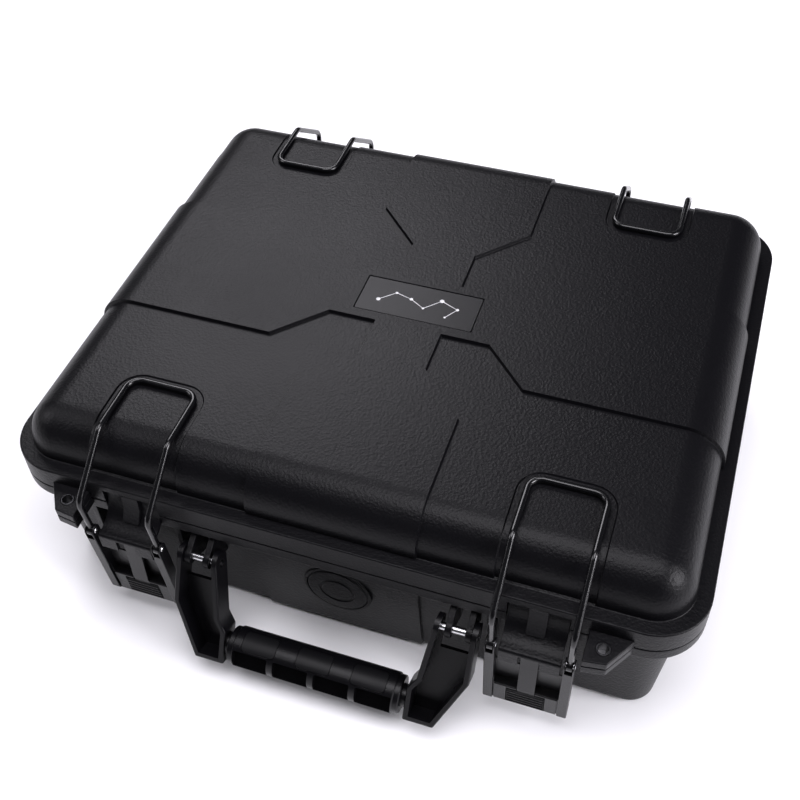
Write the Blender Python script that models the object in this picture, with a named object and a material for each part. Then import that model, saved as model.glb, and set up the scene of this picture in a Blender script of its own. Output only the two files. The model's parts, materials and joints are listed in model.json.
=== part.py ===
"""Hard carry case for a telescope: moulded tub and lid, wire-bail latches, swing handle.

Metres, +Z up. The origin is the centre of the tub's flat underside; -Y is the
front, where the handle and the latches are. Run it with Blender 4.5.
"""
from math import cos, pi, radians, sin

import bmesh
import bpy
from mathutils import Matrix, Vector

# ---- driving dimensions ---------------------------------------------------
FLANGE_X = 0.218            # half width of the rim where tub and lid meet
FLANGE_Y = 0.179            # half depth of the same rim
FLANGE_R = 0.034            # plan corner radius of the rim
SEAM_Z = 0.0991             # height of the parting line
RIM_BOTTOM_Z = 0.0893       # underside of the tub's rim
RIM_TOP_Z = 0.1152          # top of the lid's rim
LID_TOP_Z = 0.1440          # the four flat quarters of the lid
BAND_RISE = 0.0022          # the plus-shaped band stands this proud
RECESS_DEPTH = 0.0010       # shallow seats under the wire loops
EDGE_R = 0.025              # rounding of the lid's top edge
WALL = 0.0032               # moulded wall thickness
GAP = 0.0003                # clearance between pieces that touch
CORNER_STEPS = 6            # facets in a quarter turn of an outline

# Plus-shaped band in plan, from the middle of an X arm round to a Y arm.
BAND_CORNERS = ((0.0840, 0.0542), (0.0542, 0.0235), (0.0225, 0.0235),
                (0.0225, 0.0551), (0.0533, 0.0873))
BAND_REACH = 0.30           # the band's arms run past the walls

# Latches and hinges share one wire loop, mirrored front to back.
LOOP_X = 0.1278             # loop centre from the middle of the case
LEG_X = 0.02285             # each leg from the loop's centre
WIRE_R = 0.0020
LOOP_BAR_Y = 0.1160         # cross bar, measured from the middle of the case
LOOP_TOP_Z = 0.1454
LOOP_BREAK_Y = 0.1580       # where the legs leave the lid's top
LOOP_OUT_Y = 0.1960         # where they turn down outside the rim
LOOP_OUT_Z = 0.1172
LOOP_BEND_R = 0.0085
PIVOT_Y = 0.1940            # eyes at the legs' lower ends
PIVOT_Z = 0.0880            # at the front, where the levers hang
HINGE_Z = 0.0840            # at the back
EYE_R = 0.0037
PIN_R = 0.0018
SEAT_HALF = 0.0289          # recess round a loop
SEAT_Y = 0.1100
SEAT_R = 0.0150

# Carrying handle.
HANDLE_PIVOT_Y = -0.1846
HANDLE_PIVOT_Z = 0.0740
HANDLE_TILT = radians(28)   # grip held out from straight down at rest
GRIP_REACH = 0.0550
GRIP_R = 0.0128
GRIP_HALF = 0.0565
CORE_R = 0.0070
ARM_OUTER_X = 0.0960
ARM_INNER_X = 0.0700
ARM_HALF_DEPTH = 0.0080
CHEEK = 0.0034
HANDLE_PIN_R = 0.0024
TILE_CENTRES = (-0.0360, 0.0, 0.0360)
TILE_ANGLE = 35             # degrees from the grip's pivot side to each soft tile's middle

# Latch levers, drawn upright and then leaned back about their pivot.
LEVER_TILT = radians(4)
LEVER_ARM_HALF = 0.0031
LEVER_BOTTOM_Z = 0.0180
LEVER_DEPTH = 0.0040        # front and back of an arm from its pivot
BAR_LOW_Z = 0.0190          # cross bar between the arms
BAR_HIGH_Z = 0.0405
BAR_FRONT_Y = -0.1968
WEB_TOP_Z = 0.0640          # thin web behind the tongue
SLIDE_HALF = 0.0117         # ribbed release slide in the bar's window
SLIDE_LOW_Z = 0.0200
SLIDE_HIGH_Z = 0.0362
SLIDE_TRAVEL = 0.0025
TONGUE_HALF = 0.0054
SCOOP_HALF = 0.0180
NOTCH_HALF = 0.0064
NOTCH_TOP_Z = 0.0845

# Padlock ears and their steel bushes.
EAR_OUTLINE = ((0.1836, 0.1765), (0.1700, 0.1972), (0.1565, 0.1990), (0.1565, 0.1740), (0.1836, 0.1740))
EAR_HOLE = (0.1662, 0.1884)
EAR_HOLE_R = 0.0044
BUSH_R = 0.0033
LID_EAR_TOP_Z = 0.1052
BASE_EAR_BOTTOM_Z = 0.0925

# Name plate on the lid.
PLATE_HALF_X = 0.0400
PLATE_HALF_Y = 0.0160

# Pressure valve on the front wall.
VALVE_Z = 0.0530
VALVE_FACE_Y = -0.1694

BLACK = ((0.020, 0.020, 0.023), 0.50, 0.0)
GLOSS_BLACK = ((0.012, 0.012, 0.014), 0.25, 0.0)
STEEL = ((0.62, 0.62, 0.64), 0.25, 1.0)
FOAM = ((0.035, 0.035, 0.038), 0.95, 0.0)
RUBBER = ((0.030, 0.030, 0.032), 0.75, 0.0)


# ---- small modelling tools ------------------------------------------------
def clear_scene():
    for item in list(bpy.data.objects):
        bpy.data.objects.remove(item, do_unlink=True)


def finish_material(name, look):
    colour, roughness, metallic = look
    material = bpy.data.materials.new(name)
    material.use_nodes = True
    shader = material.node_tree.nodes["Principled BSDF"]
    shader.inputs["Base Color"].default_value = (*colour, 1.0)
    shader.inputs["Roughness"].default_value = roughness
    shader.inputs["Metallic"].default_value = metallic
    return material


def to_object(name, bm):
    bmesh.ops.recalc_face_normals(bm, faces=bm.faces)
    if bm.calc_volume(signed=True) < 0:
        bmesh.ops.reverse_faces(bm, faces=bm.faces)
    mesh = bpy.data.meshes.new(name)
    bm.to_mesh(mesh)
    bm.free()
    item = bpy.data.objects.new(name, mesh)
    bpy.context.scene.collection.objects.link(item)
    return item


def combine(target, tool, operation):
    """Run one exact Boolean on target and drop the tool."""
    step = target.modifiers.new(operation, "BOOLEAN")
    step.operation = operation
    step.solver = "EXACT"
    step.object = tool
    depsgraph = bpy.context.evaluated_depsgraph_get()
    result = bpy.data.meshes.new_from_object(target.evaluated_get(depsgraph))
    target.modifiers.clear()
    target.data = result
    bpy.data.objects.remove(tool, do_unlink=True)
    return target


def join(target, *tools):
    for tool in tools:
        combine(target, tool, "UNION")
    return target


def cut(target, *tools):
    for tool in tools:
        combine(target, tool, "DIFFERENCE")
    return target


def part(item, look, smooth_angle=None):
    """Give a finished piece its own material and, if it is round, smooth shading."""
    item.data.materials.clear()
    item.data.materials.append(finish_material(item.name, look))
    if smooth_angle:
        item.data.shade_smooth()
        item.data.set_sharp_from_angle(angle=radians(smooth_angle))
    return item


def loft(name, rings):
    """Closed solid through rings of equal point count, capped at both ends."""
    bm = bmesh.new()
    loops = [[bm.verts.new(point) for point in ring] for ring in rings]
    count = len(rings[0])
    for lower, upper in zip(loops, loops[1:]):
        for i in range(count):
            j = (i + 1) % count
            bm.faces.new((lower[i], lower[j], upper[j], upper[i]))
    bm.faces.new(list(reversed(loops[0])))
    bm.faces.new(loops[-1])
    return to_object(name, bm)


def prism(name, outline, low, high, axis="Z"):
    """Extrude a closed outline along X or Z; an X prism's outline is in (y, z)."""
    def place(point, along):
        if axis == "Z":
            return (point[0], point[1], along)
        return (along, point[0], point[1])
    return loft(name, [[place(p, low) for p in outline], [place(p, high) for p in outline]])


def box(name, low, high):
    outline = ((low[0], low[1]), (high[0], low[1]), (high[0], high[1]), (low[0], high[1]))
    return prism(name, outline, low[2], high[2])


def cylinder(name, start, end, radius, sides=20):
    start, end = Vector(start), Vector(end)
    bm = bmesh.new()
    bmesh.ops.create_cone(bm, cap_ends=True, segments=sides, radius1=radius, radius2=radius,
                          depth=(end - start).length)
    turn = (end - start).to_track_quat("Z", "Y").to_matrix().to_4x4()
    bm.transform(Matrix.Translation((start + end) / 2) @ turn)
    return to_object(name, bm)


def arc(centre, radius, start, end, steps):
    """Points on a circle between two angles in degrees, ends included."""
    angles = [radians(start + (end - start) * i / steps) for i in range(steps + 1)]
    return [(centre[0] + radius * cos(a), centre[1] + radius * sin(a)) for a in angles]


def rounded_outline(half_x, half_y, radius, steps=CORNER_STEPS):
    points = []
    for quarter, (sx, sy) in enumerate(((1, 1), (-1, 1), (-1, -1), (1, -1))):
        centre = (sx * (half_x - radius), sy * (half_y - radius))
        points += arc(centre, radius, 90 * quarter, 90 * quarter + 90, steps)
    return points


def rim_ring(inset, z, least=0.004):
    """The rim's outline pulled in by inset, at height z."""
    radius = max(FLANGE_R - inset, least)
    return [(x, y, z) for x, y in rounded_outline(FLANGE_X - inset, FLANGE_Y - inset, radius)]


def rim_loft(name, profile):
    return loft(name, [rim_ring(inset, z) for inset, z in profile])


def rounded_path(points, radius, steps=3):
    """Replace each inner corner of a path by a short arc-like bend."""
    points = [Vector(p) for p in points]
    path = [points[0]]
    for before, corner, after in zip(points, points[1:], points[2:]):
        arrive = (corner - before).normalized()
        leave = (after - corner).normalized()
        turn = arrive.angle(leave)
        trim = radius * sin(turn / 2) / cos(turn / 2)
        first, last = corner - arrive * trim, corner + leave * trim
        for i in range(steps + 1):
            t = i / steps
            path.append(first * (1 - t) ** 2 + corner * (2 * t * (1 - t)) + last * t ** 2)
    path.append(points[-1])
    return path


def tube(name, path, radius, sides=10):
    """Round bar along a path, its rings turned from one point to the next."""
    rings = []
    tangent = (path[1] - path[0]).normalized()
    side = tangent.orthogonal().normalized()
    for i, point in enumerate(path):
        ahead = path[min(i + 1, len(path) - 1)] - point
        behind = point - path[max(i - 1, 0)]
        new_tangent = (ahead.normalized() + behind.normalized()).normalized()
        side = tangent.rotation_difference(new_tangent) @ side
        tangent = new_tangent
        other = tangent.cross(side)
        ring = []
        for k in range(sides):
            angle = 2 * pi * k / sides
            ring.append(point + (side * cos(angle) + other * sin(angle)) * radius)
        rings.append(ring)
    return loft(name, rings)


# ---- lid and tub ----------------------------------------------------------
def lid_profile(offset):
    """(inset, z) up the lid's dome, moved outwards by offset."""
    wall_inset = 0.0092 - offset
    top = LID_TOP_Z + offset
    radius = EDGE_R + offset
    profile = [(wall_inset, RIM_TOP_Z - 0.004), (wall_inset + 0.0006, top - radius)]
    for inset_step, z_step in arc((0.0, 0.0), radius, 0, 90, 6)[1:]:
        profile.append((wall_inset + 0.0006 + radius - inset_step, top - radius + z_step))
    return profile


def band_prism(name, low, high):
    """Plus-shaped prism: five corners for each quarter, mirrored twice."""
    quarter = [(BAND_REACH, BAND_CORNERS[0][1]), *BAND_CORNERS, (BAND_CORNERS[-1][0], BAND_REACH)]
    outline = []
    for sx, sy in ((1, 1), (-1, 1), (-1, -1), (1, -1)):
        corners = [(sx * x, sy * y) for x, y in quarter]
        outline += corners if sx * sy > 0 else list(reversed(corners))
    return prism(name, outline, low, high)


def seat_prism(name, side_x, side_y):
    """Recess round one wire loop, running out over the lid's edge."""
    centre = side_x * LOOP_X
    outer = FLANGE_Y + 0.02
    inner = SEAT_HALF - SEAT_R
    points = [(centre - SEAT_HALF, outer)]
    points += arc((centre - inner, SEAT_Y + SEAT_R), SEAT_R, 180, 270, 5)
    points += arc((centre + inner, SEAT_Y + SEAT_R), SEAT_R, 270, 360, 5)
    points += [(centre + SEAT_HALF, outer)]
    return prism(name, [(x, side_y * y) for x, y in points], RIM_TOP_Z + 0.0015, LID_TOP_Z + 0.02)


def ear_prism(name, side, low, high):
    return prism(name, [(side * x, -y) for x, y in EAR_OUTLINE], low, high)


def ear_hole(name, side, low, high, radius, sides=16):
    centre_x, centre_y = side * EAR_HOLE[0], -EAR_HOLE[1]
    return cylinder(name, (centre_x, centre_y, low), (centre_x, centre_y, high), radius, sides)


def make_scoop(side):
    """Concave apron under the lid's rim; its lip is notched for the slide's tongue."""
    front = [(-0.1765, 0.1105), (-0.1765, 0.1010), (-0.1785, 0.0960), (-0.1830, 0.0915),
             (-0.1890, 0.0885), (-0.1940, 0.0868), (-0.1961, 0.0845), (-0.1962, 0.0746)]
    back = [(-0.1938, 0.0746), (-0.1936, 0.0830), (-0.1890, 0.0852), (-0.1820, 0.0882),
            (-0.1765, 0.0925), (-0.1741, 0.0975), (-0.1741, 0.1105)]
    centre = side * LOOP_X
    scoop = prism("scoop", front + back, centre - SCOOP_HALF, centre + SCOOP_HALF, "X")
    rib = prism("rib", ((-0.1750, 0.1100), (-0.1785, 0.1100), (-0.1800, 0.0980), (-0.1850, 0.0903),
                        (-0.1750, 0.0980)), centre - 0.0058, centre + 0.0058, "X")
    join(scoop, rib)
    notch = box("notch", (centre - NOTCH_HALF, -0.205, 0.07), (centre + NOTCH_HALF, -0.1915, NOTCH_TOP_Z))
    return cut(scoop, notch)


def latch_relief(name, side, low, high):
    """The rims step back between a latch's legs to make room for the scoop."""
    centre = side * LOOP_X
    half = SCOOP_HALF + 0.0006
    return box(name, (centre - half, -0.19, low), (centre + half, -0.1738, high))


def make_lid():
    skin = rim_loft("lid_shell", [
        (0.0010, SEAM_Z + GAP / 2), (0.0, SEAM_Z + 0.0012), (0.0003, RIM_TOP_Z - 0.0016),
        (0.0018, RIM_TOP_Z), (0.0086, RIM_TOP_Z)] + lid_profile(0.0)[1:])
    cut(skin, *[seat_prism("seat", sx, sy) for sx in (-1, 1) for sy in (-1, 1)])
    join(skin, rim_loft("seat_floor", lid_profile(-RECESS_DEPTH)))
    band = rim_loft("band", lid_profile(BAND_RISE))
    combine(band, band_prism("plus", RIM_TOP_Z - 0.002, LID_TOP_Z + 0.01), "INTERSECT")
    join(skin, band)
    inner = [(0.0135, SEAM_Z - 0.01), (0.0135, 0.1200), (0.0165, 0.1280), (0.0215, 0.1345),
             (0.0345, LID_TOP_Z - RECESS_DEPTH - WALL)]
    cut(skin, rim_loft("inside", inner))
    cut(skin, seal_ring("groove", 0.0070, 0.0110, SEAM_Z - 0.001, SEAM_Z + 0.0040))
    low = (-PLATE_HALF_X, -PLATE_HALF_Y, LID_TOP_Z + BAND_RISE - 0.0012)
    high = (PLATE_HALF_X, PLATE_HALF_Y, LID_TOP_Z + 0.01)
    cut(skin, box("plate_seat", low, high))
    for side in (-1, 1):
        join(skin, ear_prism("ear", side, SEAM_Z + GAP / 2, LID_EAR_TOP_Z))
        cut(skin, ear_hole("hole", side, 0.09, 0.11, EAR_HOLE_R))
        cut(skin, latch_relief("relief", side, 0.09, 0.1101))
        join(skin, make_scoop(side))
    return part(skin, BLACK, 35)


def seal_ring(name, near, far, low, high):
    """Closed ring that follows the rim between two insets."""
    rings = [rim_ring(near, low), rim_ring(near, high), rim_ring(far, high), rim_ring(far, low)]
    bm = bmesh.new()
    loops = [[bm.verts.new(point) for point in ring] for ring in rings]
    count = len(rings[0])
    for k in range(4):
        lower, upper = loops[k], loops[(k + 1) % 4]
        for i in range(count):
            j = (i + 1) % count
            bm.faces.new((lower[i], lower[j], upper[j], upper[i]))
    return to_object(name, bm)


def base_profile(offset):
    """(inset, z) up the tub's wall; the wall leans out towards the rim."""
    foot = 0.0172 - offset
    corner = 0.0070
    profile = [(foot + corner - x, corner + z) for x, z in arc((0.0, 0.0), corner, -90, 0, 3)]
    return profile + [(0.0110 - offset, RIM_BOTTOM_Z + 0.001)]


def handle_fork(side, near, far):
    """One ear of the handle's bracket, between two distances from the middle."""
    outline = [(-0.1600, 0.0860), (-0.1740, 0.0860)]
    outline += arc((HANDLE_PIVOT_Y, HANDLE_PIVOT_Z), 0.0056, 90, 270, 6)
    outline += [(-0.1600, 0.0560)]
    low, high = sorted((side * near, side * far))
    return prism("fork", outline, low, high, "X")


def hinge_fork(side, offset):
    """One ear of a rear hinge bracket."""
    outline = [(0.1600, 0.0880), (0.1880, 0.0880)]
    outline += arc((PIVOT_Y, HINGE_Z), 0.0048, 60, -90, 6)
    outline += [(0.1800, 0.0730), (0.1600, 0.0580)]
    centre = side * LOOP_X + offset
    return prism("hinge_fork", outline, centre - 0.0024, centre + 0.0024, "X")


def make_base():
    tub = rim_loft("base_shell", base_profile(0.0) + [
        (0.0015, RIM_BOTTOM_Z), (0.0, RIM_BOTTOM_Z + 0.0012), (0.0, SEAM_Z - 0.0012),
        (0.0010, SEAM_Z - GAP / 2)])
    band = rim_loft("band", [(0.0260, 0.0006)] + base_profile(BAND_RISE)[1:])
    combine(band, band_prism("plus", 0.0003, RIM_BOTTOM_Z + 0.0006), "INTERSECT")
    join(tub, band)
    boss = cylinder("boss", (0, -0.160, VALVE_Z), (0, VALVE_FACE_Y, VALVE_Z), 0.0225, 32)
    join(tub, boss)
    for side in (-1, 1):
        join(tub, handle_fork(side, 0.0758, 0.0798), handle_fork(side, 0.0882, 0.0922))
        join(tub, hinge_fork(side, -0.0170), hinge_fork(side, 0.0170))
        join(tub, ear_prism("ear", side, BASE_EAR_BOTTOM_Z, SEAM_Z - GAP / 2))
        for near in (0.0985, 0.1570):
            low, high = sorted((side * near, side * (near + 0.0036)))
            join(tub, prism("gusset", ((-0.160, 0.092), (-0.1775, 0.092), (-0.1775, 0.060),
                                       (-0.1690, 0.042), (-0.160, 0.042)), low, high, "X"))
    inner = [(0.0290, 0.0038), (0.0212, 0.0110), (0.0150, RIM_BOTTOM_Z), (0.0145, SEAM_Z + 0.01)]
    cut(tub, rim_loft("inside", inner))
    cut(tub, cylinder("pocket", (0, VALVE_FACE_Y + 0.0016, VALVE_Z), (0, -0.18, VALVE_Z), 0.0203, 32))
    cut(tub, cylinder("port", (0, -0.15, VALVE_Z), (0, -0.18, VALVE_Z), 0.0042, 16))
    for side in (-1, 1):
        cut(tub, ear_hole("hole", side, 0.085, 0.105, EAR_HOLE_R))
        cut(tub, latch_relief("relief", side, 0.08, 0.105))
        bore = cylinder("bore", (side * 0.070, HANDLE_PIVOT_Y, HANDLE_PIVOT_Z),
                        (side * 0.098, HANDLE_PIVOT_Y, HANDLE_PIVOT_Z), HANDLE_PIN_R + GAP, 16)
        pin_bore = cylinder("bore", (side * LOOP_X - 0.028, PIVOT_Y, HINGE_Z),
                            (side * LOOP_X + 0.028, PIVOT_Y, HINGE_Z), PIN_R + GAP, 16)
        cut(tub, bore, pin_bore)
    return part(tub, BLACK, 35)


def make_bushes():
    for side, tag in ((-1, "left"), (1, "right")):
        for kind, low, high in (("base", BASE_EAR_BOTTOM_Z - 0.0004, SEAM_Z - GAP / 2),
                                ("lid", SEAM_Z + GAP / 2, LID_EAR_TOP_Z + 0.0004)):
            bush = ear_hole(f"padlock_bush_{kind}_{tag}", side, low, high, EAR_HOLE_R - GAP)
            cut(bush, ear_hole("hole", side, low - 0.01, high + 0.01, BUSH_R))
            part(bush, STEEL, 35)


# ---- soft and inner pieces ------------------------------------------------
def scope_pocket(name, low, high):
    """Pocket for the tube: wide at the objective end, narrow at the eyepiece."""
    half = [(-0.168, 0.022), (-0.120, 0.022), (-0.110, 0.036), (0.030, 0.036), (0.045, 0.050), (0.165, 0.050)]
    middle = 0.072
    outline = [(x, middle + y) for x, y in half] + [(x, middle - y) for x, y in reversed(half)]
    return prism(name, outline, low, high)


def make_base_foam():
    foam = rim_loft("base_foam", [(0.0305, 0.0043), (0.0222, 0.0112), (0.0162, 0.0860), (0.0162, 0.0920)])
    floor, top = 0.022, 0.12
    cut(foam, scope_pocket("pocket", floor, top))
    cut(foam, box("case_pocket", (-0.170, -0.125, 0.032), (-0.070, -0.030, top)))
    cut(foam, box("mount_pocket", (-0.045, -0.125, floor), (0.045, -0.020, top)))
    for row in range(2):
        for column in range(2):
            centre = (0.092 + 0.054 * column, -0.104 + 0.056 * row)
            cut(foam, cylinder("eyepiece_pocket", (*centre, 0.036), (*centre, top), 0.021, 24))
    cut(foam, box("valve_room", (-0.011, -0.170, VALVE_Z - 0.011), (0.011, -0.1555, top)))
    return part(foam, FOAM)


def make_lid_foam():
    foam = rim_loft("lid_foam", [(0.0142, 0.1060), (0.0142, 0.1188), (0.0177, 0.1272), (0.0227, 0.1337),
                                 (0.0354, 0.1386)])
    return part(foam, FOAM)


def make_seal():
    return part(seal_ring("lid_seal", 0.0074, 0.0106, SEAM_Z + GAP, SEAM_Z + 0.0036), RUBBER)


def make_name_plate():
    seat = LID_TOP_Z + BAND_RISE - 0.0012
    outline = rounded_outline(PLATE_HALF_X - GAP, PLATE_HALF_Y - GAP, 0.0012, 3)
    return part(prism("name_plate", outline, seat + GAP, seat + 0.0009), GLOSS_BLACK)


def make_valve():
    face = VALVE_FACE_Y
    cap = cylinder("valve_cap", (0, face + 0.0013, VALVE_Z), (0, face - 0.0004, VALVE_Z), 0.0197, 32)
    join(cap, cylinder("stem", (0, face + 0.001, VALVE_Z), (0, -0.1560, VALVE_Z), 0.0038, 16))
    cut(cap, cylinder("vent", (0, -0.150, VALVE_Z), (0, face + 0.0006, VALVE_Z), 0.0018, 12))
    part(cap, BLACK, 35)
    nut = cylinder("valve_nut", (0, -0.1599, VALVE_Z), (0, -0.1565, VALVE_Z), 0.0085, 6)
    cut(nut, cylinder("thread", (0, -0.165, VALVE_Z), (0, -0.150, VALVE_Z), 0.0041, 16))
    part(nut, BLACK)


# ---- wire loops -----------------------------------------------------------
def make_loop(name, side_x, side_y):
    """Wire loop with a rolled eye at each lower end; side_y is -1 at the front."""
    centre = side_x * LOOP_X
    pivot_z = PIVOT_Z if side_y < 0 else HINGE_Z
    half = [(LEG_X, PIVOT_Y, pivot_z + EYE_R - 0.001), (LEG_X, LOOP_OUT_Y, LOOP_OUT_Z),
            (LEG_X, LOOP_BREAK_Y, LOOP_TOP_Z), (LEG_X, LOOP_BAR_Y, LOOP_TOP_Z)]
    corners = [(centre - x, side_y * y, z) for x, y, z in half]
    corners += [(centre + x, side_y * y, z) for x, y, z in reversed(half)]
    loop = tube(name, rounded_path(corners, LOOP_BEND_R, 4), WIRE_R)
    for leg in (-1, 1):
        x = centre + leg * LEG_X
        join(loop, cylinder("eye", (x - WIRE_R, side_y * PIVOT_Y, pivot_z),
                            (x + WIRE_R, side_y * PIVOT_Y, pivot_z), EYE_R, 16))
        cut(loop, cylinder("eye_hole", (x - 0.004, side_y * PIVOT_Y, pivot_z),
                           (x + 0.004, side_y * PIVOT_Y, pivot_z), PIN_R + GAP, 16))
    return part(loop, GLOSS_BLACK, 50)


def make_pin(name, near, far, y, z, radius):
    return part(cylinder(name, (near, y, z), (far, y, z), radius, 16), STEEL, 35)


# ---- latch levers ---------------------------------------------------------
def lean(item):
    """Turn a piece drawn upright back to the lever's lean about its pivot."""
    to_pivot = Matrix.Translation((0, -PIVOT_Y, PIVOT_Z))
    turn = Matrix.Rotation(LEVER_TILT, 4, "X")
    item.data.transform(to_pivot @ turn @ to_pivot.inverted())
    return item


def make_lever(name, side):
    centre = side * LOOP_X
    front, back = -PIVOT_Y - LEVER_DEPTH, -PIVOT_Y + LEVER_DEPTH
    arms = []
    for leg in (-1, 1):
        x = centre + leg * LEG_X
        outline = arc((-PIVOT_Y, PIVOT_Z), LEVER_DEPTH, 0, 180, 8)
        outline += arc((-PIVOT_Y, LEVER_BOTTOM_Z + LEVER_DEPTH), LEVER_DEPTH, 180, 360, 6)
        arm = prism(name, outline, x - LEVER_ARM_HALF, x + LEVER_ARM_HALF, "X")
        slot = box("slot", (x - WIRE_R - GAP, front - 0.001, PIVOT_Z - 0.0055),
                   (x + WIRE_R + GAP, back + 0.01, PIVOT_Z + 0.02))
        arms.append(cut(arm, slot))
    lever = join(arms[0], arms[1])
    lever.name = name
    inner = LEG_X - LEVER_ARM_HALF + 0.0008
    join(lever,
         box("bar", (centre - inner, BAR_FRONT_Y, BAR_LOW_Z), (centre + inner, back - 0.0003, BAR_HIGH_Z)),
         box("web", (centre - inner, back - 0.0012, BAR_LOW_Z + 0.002), (centre + inner, back, WEB_TOP_Z)))
    room = SLIDE_HALF + GAP
    cut(lever,
        box("window", (centre - room, -0.21, SLIDE_LOW_Z - GAP),
            (centre + room, -0.1941, SLIDE_HIGH_Z + SLIDE_TRAVEL + GAP)),
        box("tongue_slot", (centre - TONGUE_HALF - GAP, -0.21, SLIDE_HIGH_Z),
            (centre + TONGUE_HALF + GAP, -0.1938, BAR_HIGH_Z + 0.01)),
        box("spring_seat", (centre - 0.0045, -0.20, 0.0225), (centre + 0.0045, -0.1920, 0.0335)),
        cylinder("bore", (centre - 0.03, -PIVOT_Y, PIVOT_Z), (centre + 0.03, -PIVOT_Y, PIVOT_Z),
                 PIN_R + GAP, 16))
    return part(lean(lever), BLACK, 40)


def make_lever_pins(side, tag):
    """One short pin in each arm, through the eye of the wire."""
    half = LEVER_ARM_HALF + 0.0002
    for leg, place in ((-side, "inner"), (side, "outer")):
        x = side * LOOP_X + leg * LEG_X
        make_pin(f"lever_pin_{tag}_{place}", x - half, x + half, -PIVOT_Y, PIVOT_Z, PIN_R)


def make_button(name, side):
    """Ribbed slide whose tongue reaches up behind the scoop's notched lip."""
    centre = side * LOOP_X
    button = box(name, (centre - SLIDE_HALF, -0.1962, SLIDE_LOW_Z),
                 (centre + SLIDE_HALF, -0.1944, SLIDE_HIGH_Z))
    for row in range(5):
        low = SLIDE_LOW_Z + 0.0006 + 0.0033 * row
        join(button, box("ridge", (centre - SLIDE_HALF + 0.0003, -0.1976, low),
                         (centre + SLIDE_HALF - 0.0003, -0.1958, low + 0.0018)))
    tongue = [(-0.1962, 0.0350), (-0.1966, 0.0415), (-0.1932, 0.0658), (-0.1922, 0.0800),
              (-0.1904, 0.0800), (-0.1914, 0.0660), (-0.1946, 0.0425), (-0.1944, 0.0350)]
    join(button, prism("tongue", tongue, centre - TONGUE_HALF, centre + TONGUE_HALF, "X"))
    return part(lean(button), BLACK)


def make_leaf_spring(name, side):
    """Bowed strip in the bar, pressing on the back of the slide."""
    centre = side * LOOP_X
    strip = [(-0.1924, 0.0230), (-0.1940, 0.0280), (-0.1924, 0.0330), (-0.1929, 0.0330), (-0.1941, 0.0290),
             (-0.1941, 0.0270), (-0.1929, 0.0230)]
    return part(lean(prism(name, strip, centre - 0.0040, centre + 0.0040, "X")), STEEL)


# ---- carrying handle ------------------------------------------------------
def handle_place(item):
    """Turn a piece built hanging straight down out to the handle's rest angle."""
    turn = Matrix.Rotation(-HANDLE_TILT, 4, "X")
    item.data.transform(Matrix.Translation((0, HANDLE_PIVOT_Y, HANDLE_PIVOT_Z)) @ turn)
    return item


def hanging_plate(name, outline, low, high):
    """Extrude an (x, reach) outline through the handle's depth; reach runs down from the pivot."""
    rings = [[(x, depth, -reach) for x, reach in outline] for depth in (low, high)]
    return loft(name, rings)


def arm_outline(side, inset):
    """The arm seen square on: straight outer edge, chamfer, grip end."""
    bottom = GRIP_REACH + 0.0120 - inset
    outer = ARM_OUTER_X - inset
    inner = ARM_INNER_X + inset
    points = [(inner, -0.0078), (outer, -0.0078), (outer, 0.0300), (0.0790 - inset * 0.6, bottom),
              (GRIP_HALF + 0.0030 + inset, bottom), (GRIP_HALF + 0.0030 + inset, 0.0440)]
    points += [(inner - 0.0055, 0.0360)]
    return [(side * x, reach) for x, reach in points]


def make_handle_frame():
    frame = None
    for side in (-1, 1):
        arm = hanging_plate("handle_frame", arm_outline(side, 0.0), -ARM_HALF_DEPTH, ARM_HALF_DEPTH)
        well = hanging_plate("well", arm_outline(side, CHEEK), -ARM_HALF_DEPTH - 0.01, ARM_HALF_DEPTH - 0.003)
        cut(arm, well)
        low, high = sorted((side * (ARM_INNER_X + CHEEK), side * (ARM_OUTER_X - CHEEK)))
        cut(arm, box("fork_room", (low, -0.02, -0.0175), (high, 0.02, 0.02)))
        frame = arm if frame is None else join(frame, arm)
    frame.name = "handle_frame"
    reach = GRIP_HALF + 0.004
    core = cylinder("core", (-reach, 0, -GRIP_REACH), (reach, 0, -GRIP_REACH), CORE_R, 16)
    join(frame, core)
    cut(frame, cylinder("bore", (-0.12, 0, 0), (0.12, 0, 0), HANDLE_PIN_R + GAP, 16))
    return part(handle_place(frame), GLOSS_BLACK, 35)


def tile_block(name, centre_x, half, near, far, spread, steps=6):
    """Curved slab on the grip's upper side, between two radii."""
    outer = arc((0, 0), far, TILE_ANGLE - spread, TILE_ANGLE + spread, steps)
    inner = arc((0, 0), near, TILE_ANGLE + spread, TILE_ANGLE - spread, steps)
    outline = [(-forward, up - GRIP_REACH) for up, forward in outer + inner]
    return prism(name, outline, centre_x - half, centre_x + half, "X")


def make_grip():
    grip = cylinder("handle_grip", (-GRIP_HALF, 0, -GRIP_REACH), (GRIP_HALF, 0, -GRIP_REACH), GRIP_R, 28)
    cut(grip, cylinder("bore", (-0.08, 0, -GRIP_REACH), (0.08, 0, -GRIP_REACH), CORE_R + GAP, 16))
    for k in range(4):
        centre = -0.0405 + 0.0270 * k
        cut(grip, box("pocket", (centre - 0.0115, -0.02, -GRIP_REACH - 0.0098),
                      (centre + 0.0115, -0.0086, -GRIP_REACH + 0.0040)))
    for centre in TILE_CENTRES:
        cut(grip, tile_block("tile_seat", centre, 0.0113, GRIP_R - 0.0016, GRIP_R + 0.003, 33))
    part(handle_place(grip), GLOSS_BLACK, 35)
    for number, centre in enumerate(TILE_CENTRES, 1):
        tile = tile_block(f"grip_tile_{number}", centre, 0.0110, GRIP_R - 0.0012, GRIP_R + 0.0001, 31)
        part(handle_place(tile), RUBBER, 35)


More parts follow.
